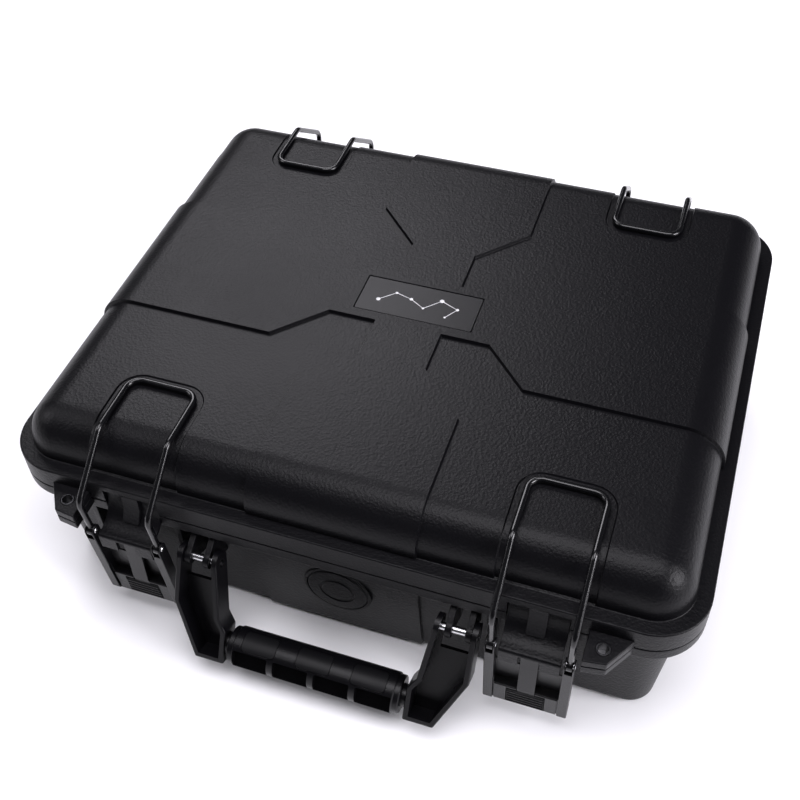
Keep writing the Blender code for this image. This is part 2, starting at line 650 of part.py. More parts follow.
def main():
    clear_scene()
    make_base()
    make_lid()
    make_bushes()
    make_base_foam()
    make_lid_foam()
    make_seal()
    make_name_plate()
    make_valve()
    for side, tag in ((-1, "left"), (1, "right")):
        make_loop(f"latch_bail_{tag}", side, -1)
        make_loop(f"hinge_strap_{tag}", side, 1)
        make_lever(f"latch_lever_{tag}", side)
        make_button(f"release_button_{tag}", side)
        make_leaf_spring(f"button_spring_{tag}", side)
        make_lever_pins(side, tag)
        make_pin(f"hinge_pin_{tag}", side * LOOP_X - 0.0262, side * LOOP_X + 0.0262,
                 PIVOT_Y, HINGE_Z, PIN_R)
        make_pin(f"handle_pin_{tag}", side * 0.0702, side * 0.0958,
                 HANDLE_PIVOT_Y, HANDLE_PIVOT_Z, HANDLE_PIN_R)
    make_handle_frame()
    make_grip()


main()
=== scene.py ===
"""Looks of a hard telescope carry case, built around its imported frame.

The file is laid out as an add-on: sizes and colours are properties, and each
piece or group of like pieces has its own operator.
"""
import json
from math import cos, pi, radians, sin, sqrt

import bmesh
import bpy
from mathutils import Matrix, Vector


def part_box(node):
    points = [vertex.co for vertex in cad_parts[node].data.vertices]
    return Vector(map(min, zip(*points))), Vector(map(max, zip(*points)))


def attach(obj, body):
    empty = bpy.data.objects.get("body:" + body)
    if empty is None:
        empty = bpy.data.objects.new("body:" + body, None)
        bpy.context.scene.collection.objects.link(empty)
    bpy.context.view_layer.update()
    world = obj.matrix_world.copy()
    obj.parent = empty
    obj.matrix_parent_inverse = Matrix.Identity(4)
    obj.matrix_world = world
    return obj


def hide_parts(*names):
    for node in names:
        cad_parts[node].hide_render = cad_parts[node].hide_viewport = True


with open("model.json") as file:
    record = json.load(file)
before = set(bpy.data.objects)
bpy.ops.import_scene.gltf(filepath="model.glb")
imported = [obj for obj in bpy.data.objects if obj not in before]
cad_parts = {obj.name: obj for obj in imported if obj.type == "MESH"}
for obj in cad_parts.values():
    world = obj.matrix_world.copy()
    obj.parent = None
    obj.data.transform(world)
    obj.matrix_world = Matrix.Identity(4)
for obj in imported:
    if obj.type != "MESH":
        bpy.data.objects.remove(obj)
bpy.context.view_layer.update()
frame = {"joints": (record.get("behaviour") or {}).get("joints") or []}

bl_info = {
    "name": "Telescope Carry Case",
    "version": (1, 0, 0),
    "blender": (4, 5, 0),
    "location": "View3D > Sidebar > Carry Case",
    "description": "Builds a moulded carry case with wire-bail latches around its frame",
    "category": "Object",
}

SIDES = (("left", -1), ("right", 1))
OUTLINE_STEPS = 16          # facets in a quarter turn of the rim's outline
EDGE_STEPS = 16             # facets in a quarter turn of the lid's rounded edge
SHARP_ANGLE = radians(34)


# ---- where things are, from the frame -------------------------------------
def low(node):
    """A node's lowest corner."""
    return Vector(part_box(node)[0])


def high(node):
    """A node's highest corner."""
    return Vector(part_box(node)[1])


def middle(node):
    return (low(node) + high(node)) / 2


def hinge_of(name):
    """A joint's place in the frame."""
    return Vector(next(j["pos_m"] for j in frame["joints"] if j["name"] == name))


RIM_HALF_X = high("lid_shell").x
RIM_HALF_Y = high("lid_shell").y
RIM_RADIUS = 0.034
SEAM_Z = 0.0991             # where the lid meets the tub
GAP = 0.0003                # clearance between neighbouring parts
LATCH_X = hinge_of("lever_right_swing").x
PIVOT_Y = -hinge_of("lever_right_swing").y
PIVOT_Z = hinge_of("lever_right_swing").z
HINGE_Z = hinge_of("lid_hinge").z
HANDLE_PIVOT = hinge_of("handle_swing")
EYE_RADIUS = 0.0037         # boss at a wire's foot, round its pin
LEG = 0.02285               # each wire leg from its loop's centre
PIN_RADIUS = 0.0018         # of the lever pins and rear hinge pins
HANDLE_PIN_RADIUS = 0.0024
VALVE_Z = middle("valve_cap").z
EAR_HOLE = middle("padlock_bush_lid_right").xy
EAR_HOLE_RADIUS = 0.0044


# ---- sizes and colours a user would change --------------------------------
def size(name, description, default):
    return bpy.props.FloatProperty(name=name, description=description, default=default,
                                   min=0.0, max=0.3, subtype="DISTANCE", unit="LENGTH",
                                   precision=4)


def colour(name, description, default):
    return bpy.props.FloatVectorProperty(name=name, description=description, default=default,
                                         min=0.0, max=1.0, size=3, subtype="COLOR")


def amount(name, description, default):
    return bpy.props.FloatProperty(name=name, description=description, default=default,
                                   min=0.0, max=1.0, subtype="FACTOR")


def angle(name, description, degrees):
    return bpy.props.FloatProperty(name=name, description=description,
                                   default=radians(degrees), subtype="ANGLE")


class CaseSizes(bpy.types.PropertyGroup):
    """Sizes of the moulded surfaces that the frame leaves open."""
    lid_top: size("Lid top", "Height of the lid's four flat quarters", 0.1440)
    rim_top: size("Rim top", "Height of the top of the lid's rim", 0.1152)
    rim_bottom: size("Rim bottom", "Height of the underside of the tub's rim", 0.0893)
    edge_radius: size("Lid edge radius", "Rounding of the lid's top edge", 0.0250)
    band_rise: size("Band rise", "How proud the plus-shaped band stands", 0.0022)
    seat_depth: size("Loop seat depth", "Depth of the recess under each wire loop", 0.0010)
    step_width: size("Step width", "Width over which a moulded step rises", 0.0008)
    wall: size("Wall", "Moulded wall thickness", 0.0032)
    wire_radius: size("Wire radius", "Radius of the latch wire", 0.0020)
    wire_bend: size("Wire bend", "Bend radius of the latch wire", 0.0085)
    crest_pitch: size("Foam crest pitch", "Distance between the lid foam's crests", 0.0280)
    crest_height: size("Foam crest height", "Half height of the lid foam's crests", 0.0028)


class CaseColours(bpy.types.PropertyGroup):
    """Colours and finish of each material."""
    plastic: colour("Case plastic", "Moulded tub and lid", (0.0027, 0.0026, 0.0034))
    hardware: colour("Hardware plastic", "Levers, slides and handle", (0.0024, 0.0023, 0.0030))
    wire: colour("Wire coating", "Coated latch wire", (0.0016, 0.0016, 0.0022))
    rubber: colour("Rubber", "Seal and soft grip tiles", (0.0028, 0.0028, 0.0034))
    foam: colour("Foam", "Fitted foam", (0.0300, 0.0300, 0.0330))
    steel: colour("Steel", "Pins, springs and bushes", (0.6200, 0.6200, 0.6400))
    plate: colour("Plate", "Name plate", (0.0030, 0.0030, 0.0038))
    stars: colour("Stars", "Printed stars on the plate", (0.7200, 0.7200, 0.7400))
    grain: amount("Grain", "Strength of the moulded grain", 0.55)
    plastic_roughness: amount("Plastic roughness", "Roughness of the tub and lid", 0.36)


class StageSettings(bpy.types.PropertyGroup):
    """Camera and lights."""
    camera_place: bpy.props.FloatVectorProperty(
        name="Camera place", description="Where the camera stands", size=3,
        subtype="TRANSLATION", unit="LENGTH", default=(0.16905, -0.4963, 0.64662))
    azimuth: angle("Azimuth", "Camera's turn from the front", 20.46)
    elevation: angle("Elevation", "Camera's height angle", 48.69)
    roll: angle("Roll", "Camera's roll", -2.357)
    lens: bpy.props.FloatProperty(name="Lens", description="Focal length", default=49.44,
                                  min=10.0, max=200.0, subtype="DISTANCE_CAMERA")
    floor_colour: colour("Floor", "Plain pale floor", (0.90, 0.90, 0.91))


def sizes():
    return bpy.context.scene.case_sizes


def colours():
    return bpy.context.scene.case_colours


# ---- node graphs as expressions -------------------------------------------
class Value:
    """A node's output that can be used in Python arithmetic."""

    def __init__(self, graph, socket):
        self.graph = graph
        self.socket = socket

    def _math(self, operation, first, second=None):
        inputs = {0: first} if second is None else {0: first, 1: second}
        return self.graph.node("ShaderNodeMath", {"operation": operation}, inputs)

    def __add__(self, other):
        return self._math("ADD", self, other)

    def __sub__(self, other):
        return self._math("SUBTRACT", self, other)

    def __mul__(self, other):
        return self._math("MULTIPLY", self, other)

    def __truediv__(self, other):
        return self._math("DIVIDE", self, other)

    def __radd__(self, other):
        return self._math("ADD", other, self)

    def __rsub__(self, other):
        return self._math("SUBTRACT", other, self)

    def __rmul__(self, other):
        return self._math("MULTIPLY", other, self)

    def __rtruediv__(self, other):
        return self._math("DIVIDE", other, self)

    def sine(self):
        return self._math("SINE", self)


class Graph:
    """Adds nodes to a shader or geometry tree."""

    def __init__(self, tree):
        self.tree = tree

    def node(self, kind, settings=None, inputs=None, output=0):
        made = self.tree.nodes.new(kind)
        for key, value in (settings or {}).items():
            if key == "stops":
                for stop, (place, grey) in zip(made.color_ramp.elements, value):
                    stop.position = place
                    stop.color = (grey, grey, grey, 1.0)
            else:
                setattr(made, key, value)
        for key, value in (inputs or {}).items():
            if isinstance(value, Value):
                self.tree.links.new(value.socket, made.inputs[key])
            else:
                made.inputs[key].default_value = value
        return Value(self, made.outputs[output])


def new_material(name, roughness, metallic=0.0, gloss=0.5):
    """A Principled material; returns it, its graph, its shader and the object's coordinates."""
    made = bpy.data.materials.new(name)
    made.use_nodes = True
    shader = made.node_tree.nodes["Principled BSDF"]
    shader.inputs["Roughness"].default_value = roughness
    shader.inputs["Metallic"].default_value = metallic
    shader.inputs["Specular IOR Level"].default_value = gloss
    graph = Graph(made.node_tree)
    return made, graph, shader, graph.node("ShaderNodeTexCoord", output="Object")


def noise(graph, place, scale, detail=2.0, rough=0.5):
    return graph.node("ShaderNodeTexNoise", None,
                      {"Vector": place, "Scale": scale, "Detail": detail, "Roughness": rough})


def cells_of(graph, place, scale):
    return graph.node("ShaderNodeTexVoronoi", None, {"Vector": place, "Scale": scale})


def stretch(graph, place, scale, turn=0.0):
    return graph.node("ShaderNodeMapping", None,
                      {"Vector": place, "Rotation": (0.0, 0.0, turn), "Scale": scale})


def link(graph, value, shader, socket):
    graph.tree.links.new(value.socket, shader.inputs[socket])


def bump(graph, shader, height, strength, distance):
    made = graph.node("ShaderNodeBump", None,
                      {"Strength": strength, "Distance": distance, "Height": height}, "Normal")
    link(graph, made, shader, "Normal")


def lighter(shade, factor):
    return tuple(min(1.0, channel * factor) for channel in shade)


def vary_colour(graph, shader, factor, first, second):
    """Base colour that runs from one shade to another as factor rises."""
    mixed = graph.node("ShaderNodeMix", {"data_type": "RGBA"},
                       {0: factor, 6: (*first, 1.0), 7: (*second, 1.0)}, 2)
    link(graph, mixed, shader, "Base Color")


# Each plastic's colour property and the share of it, its roughness (None: the case's own),
# its share of the grain, the grain's scale and its gloss.
PLASTICS = {
    "case_plastic": ("plastic", 1.0, None, 1.0, 850.0, 0.145),
    "hardware_plastic": ("hardware", 1.0, 0.30, 0.45, 2200.0, 0.22),
    "plate": ("plate", 1.0, 0.30, 0.30, 2600.0, 0.145),
    # painted shade: a darker, matt copy of the hardware plastic for the grip's pocket faces,
    # standing in for the shade inside the deep pockets
    "pocket_dark": ("hardware", 0.4, 0.85, 1.0, 2200.0, 0.02),
}


def moulded_plastic(name):
    """Grained moulding: fine bump, uneven sheen and faint handling marks."""
    shade, share, roughness, grain_share, grain_scale, gloss = PLASTICS[name]
    tint = colours()
    base = lighter(getattr(tint, shade), share)
    roughness = roughness or tint.plastic_roughness
    made, graph, shader, place = new_material(name, roughness, gloss=gloss)
    fine = noise(graph, place, grain_scale, 3.0, 0.6)
    pits = cells_of(graph, place, grain_scale * 0.62)
    cloud = noise(graph, place, 9.0, 3.0)
    streaks = noise(graph, stretch(graph, place, (30.0, 700.0, 200.0), 0.6), 1.0)
    scuff = graph.node("ShaderNodeValToRGB", {"stops": ((0.66, 0.0), (0.80, 1.0))},
                       {"Fac": streaks})
    marks = scuff * cloud
    vary_colour(graph, shader, fine * 0.6 + marks * 0.25, lighter(base, 0.8), lighter(base, 1.5))
    sheen = roughness - 0.07 + cloud * 0.10 + fine * 0.06 - marks * 0.05
    link(graph, sheen, shader, "Roughness")
    bump(graph, shader, fine * 0.7 + pits * 0.5, tint.grain * grain_share, 0.0004)
    return made


def coated_wire(name):
    """Thin glossy coating over drawn wire."""
    made, graph, shader, place = new_material(name, 0.26, gloss=0.30)
    shader.inputs["Base Color"].default_value = (*colours().wire, 1.0)
    shader.inputs["Coat Weight"].default_value = 0.3
    link(graph, 0.20 + noise(graph, place, 60.0) * 0.12, shader, "Roughness")
    bump(graph, shader, noise(graph, place, 900.0), 0.10, 0.0001)
    return made


def plated_steel(name):
    """Bright plating, drawn along X."""
    made, graph, shader, place = new_material(name, 0.22, 1.0)
    streak = noise(graph, stretch(graph, place, (2400.0, 120.0, 120.0)), 1.0)
    base = tuple(colours().steel)
    vary_colour(graph, shader, streak, lighter(base, 0.86), lighter(base, 1.08))
    link(graph, 0.16 + streak * 0.16, shader, "Roughness")
    bump(graph, shader, streak, 0.08, 0.0001)
    return made


def blackened_steel(name):
    """Dark plating that is left bright only where it has been rubbed."""
    made, graph, shader, place = new_material(name, 0.35, 1.0)
    worn = noise(graph, place, 420.0)
    vary_colour(graph, shader, worn, (0.012, 0.012, 0.013), (0.075, 0.075, 0.080))
    link(graph, 0.28 + worn * 0.18, shader, "Roughness")
    return made


def open_cell_foam(name):
    """Matt speckled foam with open cells."""
    made, graph, shader, place = new_material(name, 0.95)
    speckle = noise(graph, place, 520.0, 3.0, 0.7)
    base = tuple(colours().foam)
    vary_colour(graph, shader, speckle, lighter(base, 0.55), lighter(base, 1.55))
    bump(graph, shader, cells_of(graph, place, 900.0) * 0.8 + speckle * 0.5, 0.8, 0.0006)
    return made


def soft_rubber(name):
    """Satin rubber with a very fine tooth."""
    made, graph, shader, place = new_material(name, 0.72, gloss=0.18)
    fine = noise(graph, place, 1900.0)
    base = tuple(colours().rubber)
    vary_colour(graph, shader, fine, lighter(base, 0.85), lighter(base, 1.3))
    link(graph, 0.36 + noise(graph, place, 40.0) * 0.14, shader, "Roughness")
    bump(graph, shader, fine, 0.15, 0.0002)
    return made


def printed_stars(name):
    """Pale ink, slightly worn."""
    made, graph, shader, place = new_material(name, 0.4)
    wear = noise(graph, place, 1600.0)
    base = tuple(colours().stars)
    vary_colour(graph, shader, wear, lighter(base, 0.9), base)
    link(graph, 0.35 + wear * 0.15, shader, "Roughness")
    return made


MAKERS = {
    **dict.fromkeys(PLASTICS, moulded_plastic), "coated_wire": coated_wire,
    "plated_steel": plated_steel, "blackened_steel": blackened_steel,
    "open_cell_foam": open_cell_foam, "seal_rubber": soft_rubber, "grip_rubber": soft_rubber,
    "printed_stars": printed_stars,
}
FINISH_OF_SLOT = {"steel": "plated_steel", "foam": "open_cell_foam"}
MATERIALS = {}


def material(name):
    """Each material is made once, on first use."""
    name = FINISH_OF_SLOT.get(name, name)
    if name not in MATERIALS:
        MATERIALS[name] = MAKERS[name](name)
    return MATERIALS[name]


# ---- mesh tools -------------------------------------------------------------
def arc(centre, radius, start, end, steps):
    """Points on a circle between two angles in degrees, ends included."""
    angles = [radians(start + (end - start) * i / steps) for i in range(steps + 1)]
    return [(centre[0] + radius * cos(a), centre[1] + radius * sin(a)) for a in angles]


def rounded_outline(half_x, half_y, radius, steps=OUTLINE_STEPS):
    points = []
    for quarter, (sx, sy) in enumerate(((1, 1), (-1, 1), (-1, -1), (1, -1))):
        centre = (sx * (half_x - radius), sy * (half_y - radius))
        points += arc(centre, radius, 90 * quarter, 90 * quarter + 90, steps)
    return points


def rim_ring(inset, z):
    """The rim's outline pulled in by inset, at height z."""
    radius = max(RIM_RADIUS - inset, 0.004)
    outline = rounded_outline(RIM_HALF_X - inset, RIM_HALF_Y - inset, radius)
    return [(x, y, z) for x, y in outline]


def loft(rings, closed=False):
    """Skin rings of equal point count; caps the ends, or joins them if closed."""
    bm = bmesh.new()
    loops = [[bm.verts.new(point) for point in ring] for ring in rings]
    count = len(rings[0])
    pairs = list(zip(loops, loops[1:])) + ([(loops[-1], loops[0])] if closed else [])
    for near, far in pairs:
        for i in range(count):
            j = (i + 1) % count
            bm.faces.new((near[i], near[j], far[j], far[i]))
    if not closed:
        bm.faces.new(list(reversed(loops[0])))
        bm.faces.new(loops[-1])
    return outwards(bm)


def outwards(bm):
    bmesh.ops.recalc_face_normals(bm, faces=bm.faces)
    if bm.calc_volume(signed=True) < 0:
        bmesh.ops.reverse_faces(bm, faces=bm.faces)
    return bm


def prism(outline, near, far, axis="Z"):
    """Extrude an outline along X or Z; an X prism's outline is in (y, z)."""
    if axis == "Z":
        return loft([[(x, y, along) for x, y in outline] for along in (near, far)])
    return loft([[(along, y, z) for y, z in outline] for along in (near, far)])


def block(corner, opposite, width=0.0, segments=2):
    """A box between two corners, its edges rounded if a width is given."""
    (ax, ay, az), (bx, by, bz) = corner, opposite
    box = prism(((ax, ay), (bx, ay), (bx, by), (ax, by)), az, bz)
    return soften(box, width, segments) if width else box


def side_prism(outline, near, far, width=0.0005, segments=2, turn=40):
    """Prism along X from a (y, z) outline, with rounded edges."""
    return soften(prism(outline, near, far, "X"), width, segments, turn)


def rod(start, end, radius, sides=32, end_radius=None):
    start, end = Vector(start), Vector(end)
    bm = bmesh.new()
    bmesh.ops.create_cone(bm, cap_ends=True, segments=sides, radius1=radius,
                          radius2=radius if end_radius is None else end_radius,
                          depth=(end - start).length)
    turn = (end - start).to_track_quat("Z", "Y").to_matrix().to_4x4()
    bm.transform(Matrix.Translation((start + end) / 2) @ turn)
    return outwards(bm)


def turned(profile, centre, axis="X", steps=40):
    """Solid of revolution from (along, radius) points, closed if both ends reach radius 0."""
    rings = []
    for along, radius in profile:
        ring = []
        for k in range(steps):
            a = 2 * pi * k / steps
            around = (radius * cos(a), radius * sin(a))
            offset = (along, *around) if axis == "X" else (around[0], along, around[1])
            ring.append(Vector(centre) + Vector(offset))
        rings.append(ring)
    return loft(rings)


def soften(bm, width, segments=2, turn=28):
    """Round every edge that turns by more than this many degrees."""
    limit = radians(turn)
    edges = [e for e in bm.edges if len(e.link_faces) == 2 and e.calc_face_angle(0.0) > limit]
    bmesh.ops.bevel(bm, geom=edges, offset=width, offset_type="OFFSET", segments=segments,
                    profile=0.5, affect="EDGES", clamp_overlap=True)
    return bm


def in_scene(data, name):
    """A new linked object that holds a mesh, a light or a camera."""
    item = bpy.data.objects.new(name, data)
    bpy.context.scene.collection.objects.link(item)
    return item


def to_object(bm, name="tool"):
    mesh = bpy.data.meshes.new(name)
    bm.to_mesh(mesh)
    bm.free()
    return in_scene(mesh, name)


def apply_modifiers(item):
    graph = bpy.context.evaluated_depsgraph_get()
    result = bpy.data.meshes.new_from_object(item.evaluated_get(graph))
    item.modifiers.clear()
    item.data = result
    return item


def combine(target, tool_bm, operation):
    """One exact Boolean of a tool mesh on a target object."""
    tool = to_object(tool_bm)
    step = target.modifiers.new("step", "BOOLEAN")
    step.operation = operation
    step.solver = "EXACT"
    step.object = tool
    apply_modifiers(target)
    bpy.data.objects.remove(tool, do_unlink=True)
    return target


def join(target, *tools):
    for tool in tools:
        combine(target, tool, "UNION")
    return target


def cut(target, *tools):
    for tool in tools:
        combine(target, tool, "DIFFERENCE")
    return target


def mesh_of(item):
    """Take an object's mesh as a bmesh and drop the object."""
    bm = bmesh.new()
    bm.from_mesh(item.data)
    bpy.data.objects.remove(item, do_unlink=True)
    return bm


def finish_piece(item, name, body, slot, stands_for=(), look=None, crisp=True):
    """Name, shade, colour and hang a finished piece on its body."""
    item.name = name
    item.data.name = name
    item.data.materials.clear()
    item.data.materials.append(material(look or slot))
    item.data.shade_smooth()
    if crisp:
        item.data.set_sharp_from_angle(angle=SHARP_ANGLE)
        weighted = item.modifiers.new("even_normals", "WEIGHTED_NORMAL")
        weighted.keep_sharp = True
        weighted.weight = 60
        apply_modifiers(item)
    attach(item, body)
    if stands_for:
        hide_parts(*stands_for)
    return item


# ---- moulded relief ---------------------------------------------------------
# one quarter of the plus-shaped band's corners, from the side arm to the front arm
BAND_CORNERS = ((0.0840, 0.0542), (0.0542, 0.0235), (0.0225, 0.0235),
                (0.0225, 0.0551), (0.0533, 0.0873))
FAR = 0.40                  # the relief's outlines run past the walls
SEAT_HALF, SEAT_START, SEAT_RADIUS = 0.0289, 0.1100, 0.0150
PLATE_SEAT = (0.0400, 0.0160)
PLATE_SEAT_DEPTH = 0.0012


def band_outline():
    quarter = [(FAR, BAND_CORNERS[0][1]), *BAND_CORNERS, (BAND_CORNERS[-1][0], FAR)]
    outline = []
    for sx, sy in ((1, 1), (-1, 1), (-1, -1), (1, -1)):
        corners = [(sx * x, sy * y) for x, y in quarter]
        outline += corners if sx * sy > 0 else list(reversed(corners))
    return outline


def seat_outline(side_x, side_y):
    """Recess round one wire loop, open over the lid's edge."""
    centre = side_x * LATCH_X
    corner_x, corner_y = SEAT_HALF - SEAT_RADIUS, SEAT_START + SEAT_RADIUS
    points = [(centre - SEAT_HALF, FAR)]
    points += arc((centre - corner_x, corner_y), SEAT_RADIUS, 180, 270, 8)
    points += arc((centre + corner_x, corner_y), SEAT_RADIUS, 270, 360, 8)
    points += [(centre + SEAT_HALF, FAR)]
    outline = [(x, side_y * y) for x, y in points]
    return outline if side_y < 0 else list(reversed(outline))


def plate_outline():
    x, y = PLATE_SEAT
    return [(x, y), (-x, y), (-x, -y), (x, -y)]


def signed_distance(point, outline):
    """Distance from an outline, positive inside it."""
    px, py = point
    nearest = 1e9
    inside = False
    for (ax, ay), (bx, by) in zip(outline, outline[1:] + outline[:1]):
        dx, dy = bx - ax, by - ay
        t = ((px - ax) * dx + (py - ay) * dy) / (dx * dx + dy * dy)
        t = min(1.0, max(0.0, t))
        nearest = min(nearest, sqrt((px - ax - t * dx) ** 2 + (py - ay - t * dy) ** 2))
        if (ay > py) != (by > py) and px < (bx - ax) * (py - ay) / (by - ay) + ax:
            inside = not inside
    return nearest if inside else -nearest


def smooth_step(value, start, end):
    t = min(1.0, max(0.0, (value - start) / (end - start)))
    return t * t * (3 - 2 * t)


def score_outline(bm, outline, width, lines=5):
    """Cut rows of edges along both sides of an outline, so that a step can rise between them."""
    for (ax, ay), (bx, by) in zip(outline, outline[1:] + outline[:1]):
        if max(abs(ax), abs(ay)) > FAR - 0.001 and max(abs(bx), abs(by)) > FAR - 0.001:
            continue
        along = Vector((bx - ax, by - ay)).normalized()
        across = Vector((-along.y, along.x))
        reach = width + 0.002
        lo = (min(ax, bx) - reach, min(ay, by) - reach)
        hi = (max(ax, bx) + reach, max(ay, by) + reach)
        for k in range(lines):
            offset = width * (k / (lines - 1) - 0.5)
            start = Vector((ax, ay)) + across * offset
            slice_faces(bm, [f for f in bm.faces if touches(f, lo, hi)],
                        (*start, 0.0), (*across, 0.0))


def slice_faces(bm, faces, place, normal):
    """Cut a row of edges through some faces, without parting them."""
    edges = {e for f in faces for e in f.edges}
    verts = {v for f in faces for v in f.verts}
    bmesh.ops.bisect_plane(bm, geom=faces + list(edges) + list(verts), dist=1e-6,
                           plane_co=place, plane_no=normal)


def touches(face, lo, hi):
    xs = [v.co.x for v in face.verts]
    ys = [v.co.y for v in face.verts]
    return max(xs) > lo[0] and min(xs) < hi[0] and max(ys) > lo[1] and min(ys) < hi[1]


def raise_relief(bm, features, low_fade, top_z=None):
    """Move outer vertices along their normals by each feature's height inside its outline.

    The relief grows from nothing between the two heights of low_fade, and stops at top_z.
    """
    bm.normal_update()
    outer = bm.verts.layers.float["outer"]
    half = sizes().step_width / 2
    moves = []
    for vert in bm.verts:
        if vert[outer] < 0.5 or top_z is not None and vert.co.z > top_z:
            continue
        rise = sum(height * smooth_step(signed_distance(vert.co.xy, outline), -half, half)
                   for outline, height in features)
        moves.append((vert, vert.normal * rise * smooth_step(vert.co.z, *low_fade)))
    for vert, move in moves:
        vert.co += move


def shell_of(inner, outer):
    """Closed shell from two (inset, z) profiles; outer vertices are marked for relief."""
    rings = [rim_ring(inset, z) for inset, z in inner + outer]
    bm = loft(rings)
    layer = bm.verts.layers.float.new("outer")
    count = len(rings[0])
    bm.verts.ensure_lookup_table()
    for i in range(len(inner) * count, len(rings) * count):
        bm.verts[i][layer] = 1.0
    return bm


# ---- lid --------------------------------------------------------------------
SEAM_ROUND = 0.0010         # rounding of both rims where they meet
DOME_INSET = 0.0096         # the dome's foot, in from the rim
LID_WALL_INSET = 0.0135     # the lid's inner wall
GROOVE = (0.0110, 0.0070)   # the seal's groove: its inner and outer side
GROOVE_DEPTH = 0.0040


def lid_outer_profile():
    """(inset, z) from the seam, round the rim and up the dome to the flat top."""
    s = sizes()
    seam = SEAM_Z + GAP / 2
    foot = DOME_INSET + 0.0002 + s.edge_radius
    centre_z = s.lid_top - s.edge_radius
    profile = [(SEAM_ROUND - x, seam + SEAM_ROUND - z)
               for x, z in arc((0, 0), SEAM_ROUND, 90, 0, 3)]
    profile += [(0.0013 - x, s.rim_top - 0.0011 + z) for x, z in arc((0, 0), 0.0011, 0, 90, 5)]
    profile += [(DOME_INSET - 0.0009 + x, s.rim_top + 0.0009 + z)
                for x, z in arc((0, 0), 0.0009, -90, 0, 3)]
    return profile + [(foot - x, centre_z + z)
                      for x, z in arc((0, 0), s.edge_radius, 0, 90, EDGE_STEPS)]


def lid_inner_profile():
    """(inset, z) from the underside of the top down to the seam, with the seal's groove."""
    s = sizes()
    top = s.lid_top - s.seat_depth - s.wall
    radius = s.edge_radius - s.wall
    seam = SEAM_Z + GAP / 2
    inner, outer = GROOVE
    profile = [(LID_WALL_INSET + radius - x, top - radius + z)
               for x, z in arc((0, 0), radius, 90, 0, 6)]
    return profile + [(LID_WALL_INSET, seam + 0.0005), (LID_WALL_INSET - 0.0005, seam),
                      (inner, seam), (inner, SEAM_Z + GROOVE_DEPTH),
                      (outer, SEAM_Z + GROOVE_DEPTH), (outer, seam)]


EAR_OUTLINE = ((0.1836, 0.1765), (0.1700, 0.1972), (0.1565, 0.1990), (0.1565, 0.1740),
               (0.1836, 0.1740))


def ear(side, low_z, high_z):
    """Padlock ear: chamfered trapezoid with softened edges, rooted in the rim."""
    return soften(prism([(side * x, -y) for x, y in EAR_OUTLINE], low_z, high_z), 0.0008, 3)


def ear_bore(side, low_z, high_z):
    """Straight bore through a padlock ear."""
    x, y = side * EAR_HOLE.x, EAR_HOLE.y
    return rod((x, y, low_z), (x, y, high_z), EAR_HOLE_RADIUS)


def scoop_section():
    """The apron's front and back in (y, z): down from the lip's root, out, and down the lip."""
    front = [(-0.1765, 0.1105)] + arc((-0.1940, 0.1045), 0.0175, 0, -88, 12)
    front += arc((-0.1940, 0.0848), 0.0022, 95, 180, 4) + [(-0.1962, 0.0746)]
    back = [(-0.1938, 0.0746), (-0.1936, 0.0830), (-0.1890, 0.0850), (-0.1820, 0.0882),
            (-0.1770, 0.0925), (-0.1741, 0.0975), (-0.1741, 0.1105)]
    return front + back


SCOOP_HALF, SCOOP_RIB_HALF, NOTCH_HALF = 0.0180, 0.0056, 0.0064
SCOOP_RIB = ((-0.1750, 0.1100), (-0.1792, 0.1100), (-0.1800, 0.1000), (-0.1850, 0.0912),
             (-0.1750, 0.0980))
NOTCH = ((-0.205, 0.07), (-0.1915, 0.07), (-0.1915, 0.0838), (-0.205, 0.0850))


def scoop(side):
    """Concave apron under the lid's rim, with a centre rib and a notch in its lip."""
    centre = side * LATCH_X
    apron = to_object(side_prism(scoop_section(), centre - SCOOP_HALF, centre + SCOOP_HALF,
                                 0.0004))
    join(apron, side_prism(SCOOP_RIB, centre - SCOOP_RIB_HALF, centre + SCOOP_RIB_HALF))
    notch = side_prism(NOTCH, centre - NOTCH_HALF, centre + NOTCH_HALF, 0.0006)
    return mesh_of(cut(apron, notch))


def latch_relief(side, low_z, high_z):
    """The rims step back between a latch's legs."""
    centre = side * LATCH_X
    return block((centre - 0.0184, -0.19, low_z), (centre + 0.0184, -0.1738, high_z))


def build_lid():
    """Shell with the band, seats and plate recess, then its ears and aprons."""
    s = sizes()
    bm = shell_of(lid_inner_profile(), lid_outer_profile())
    seats = [seat_outline(sx, sy) for sx in (-1, 1) for sy in (-1, 1)]
    features = [(band_outline(), s.band_rise), (plate_outline(), -PLATE_SEAT_DEPTH)]
    features += [(outline, -s.seat_depth) for outline in seats]
    for outline, _ in features:
        score_outline(bm, outline, s.step_width)
    raise_relief(bm, features, (s.rim_top + 0.0002, s.rim_top + 0.0012))
    lid = to_object(bm, "lid_skin")
    for _, side in SIDES:
        join(lid, ear(side, SEAM_Z + GAP / 2, high("padlock_bush_lid_right").z - 0.0004))
        cut(lid, ear_bore(side, 0.09, 0.11), latch_relief(side, 0.09, 0.1101))
        join(lid, scoop(side))
    finish_piece(lid, "lid_skin", "lid", "case_plastic", ("lid_shell",))


# ---- tub --------------------------------------------------------------------
FORK_SPANS = ((0.0758, 0.0798), (0.0882, 0.0922))       # along X, from the middle
GUSSET_SPANS = ((0.0985, 0.1021), (0.1570, 0.1606))
HINGE_FORK_OFFSET, HINGE_FORK_HALF = 0.0170, 0.0024
BOSS_ROOT_Y, BOSS_FACE_Y, BOSS_RADIUS = -0.1600, -0.1694, 0.0225
VALVE_SEAT_Y, VALVE_SEAT_RADIUS, VALVE_BORE = -0.1678, 0.0203, 0.0042
CLEAR_Y = -0.1800           # cutters run out past the front wall
FOOT_INSET, FOOT_RADIUS = 0.0172, 0.0070


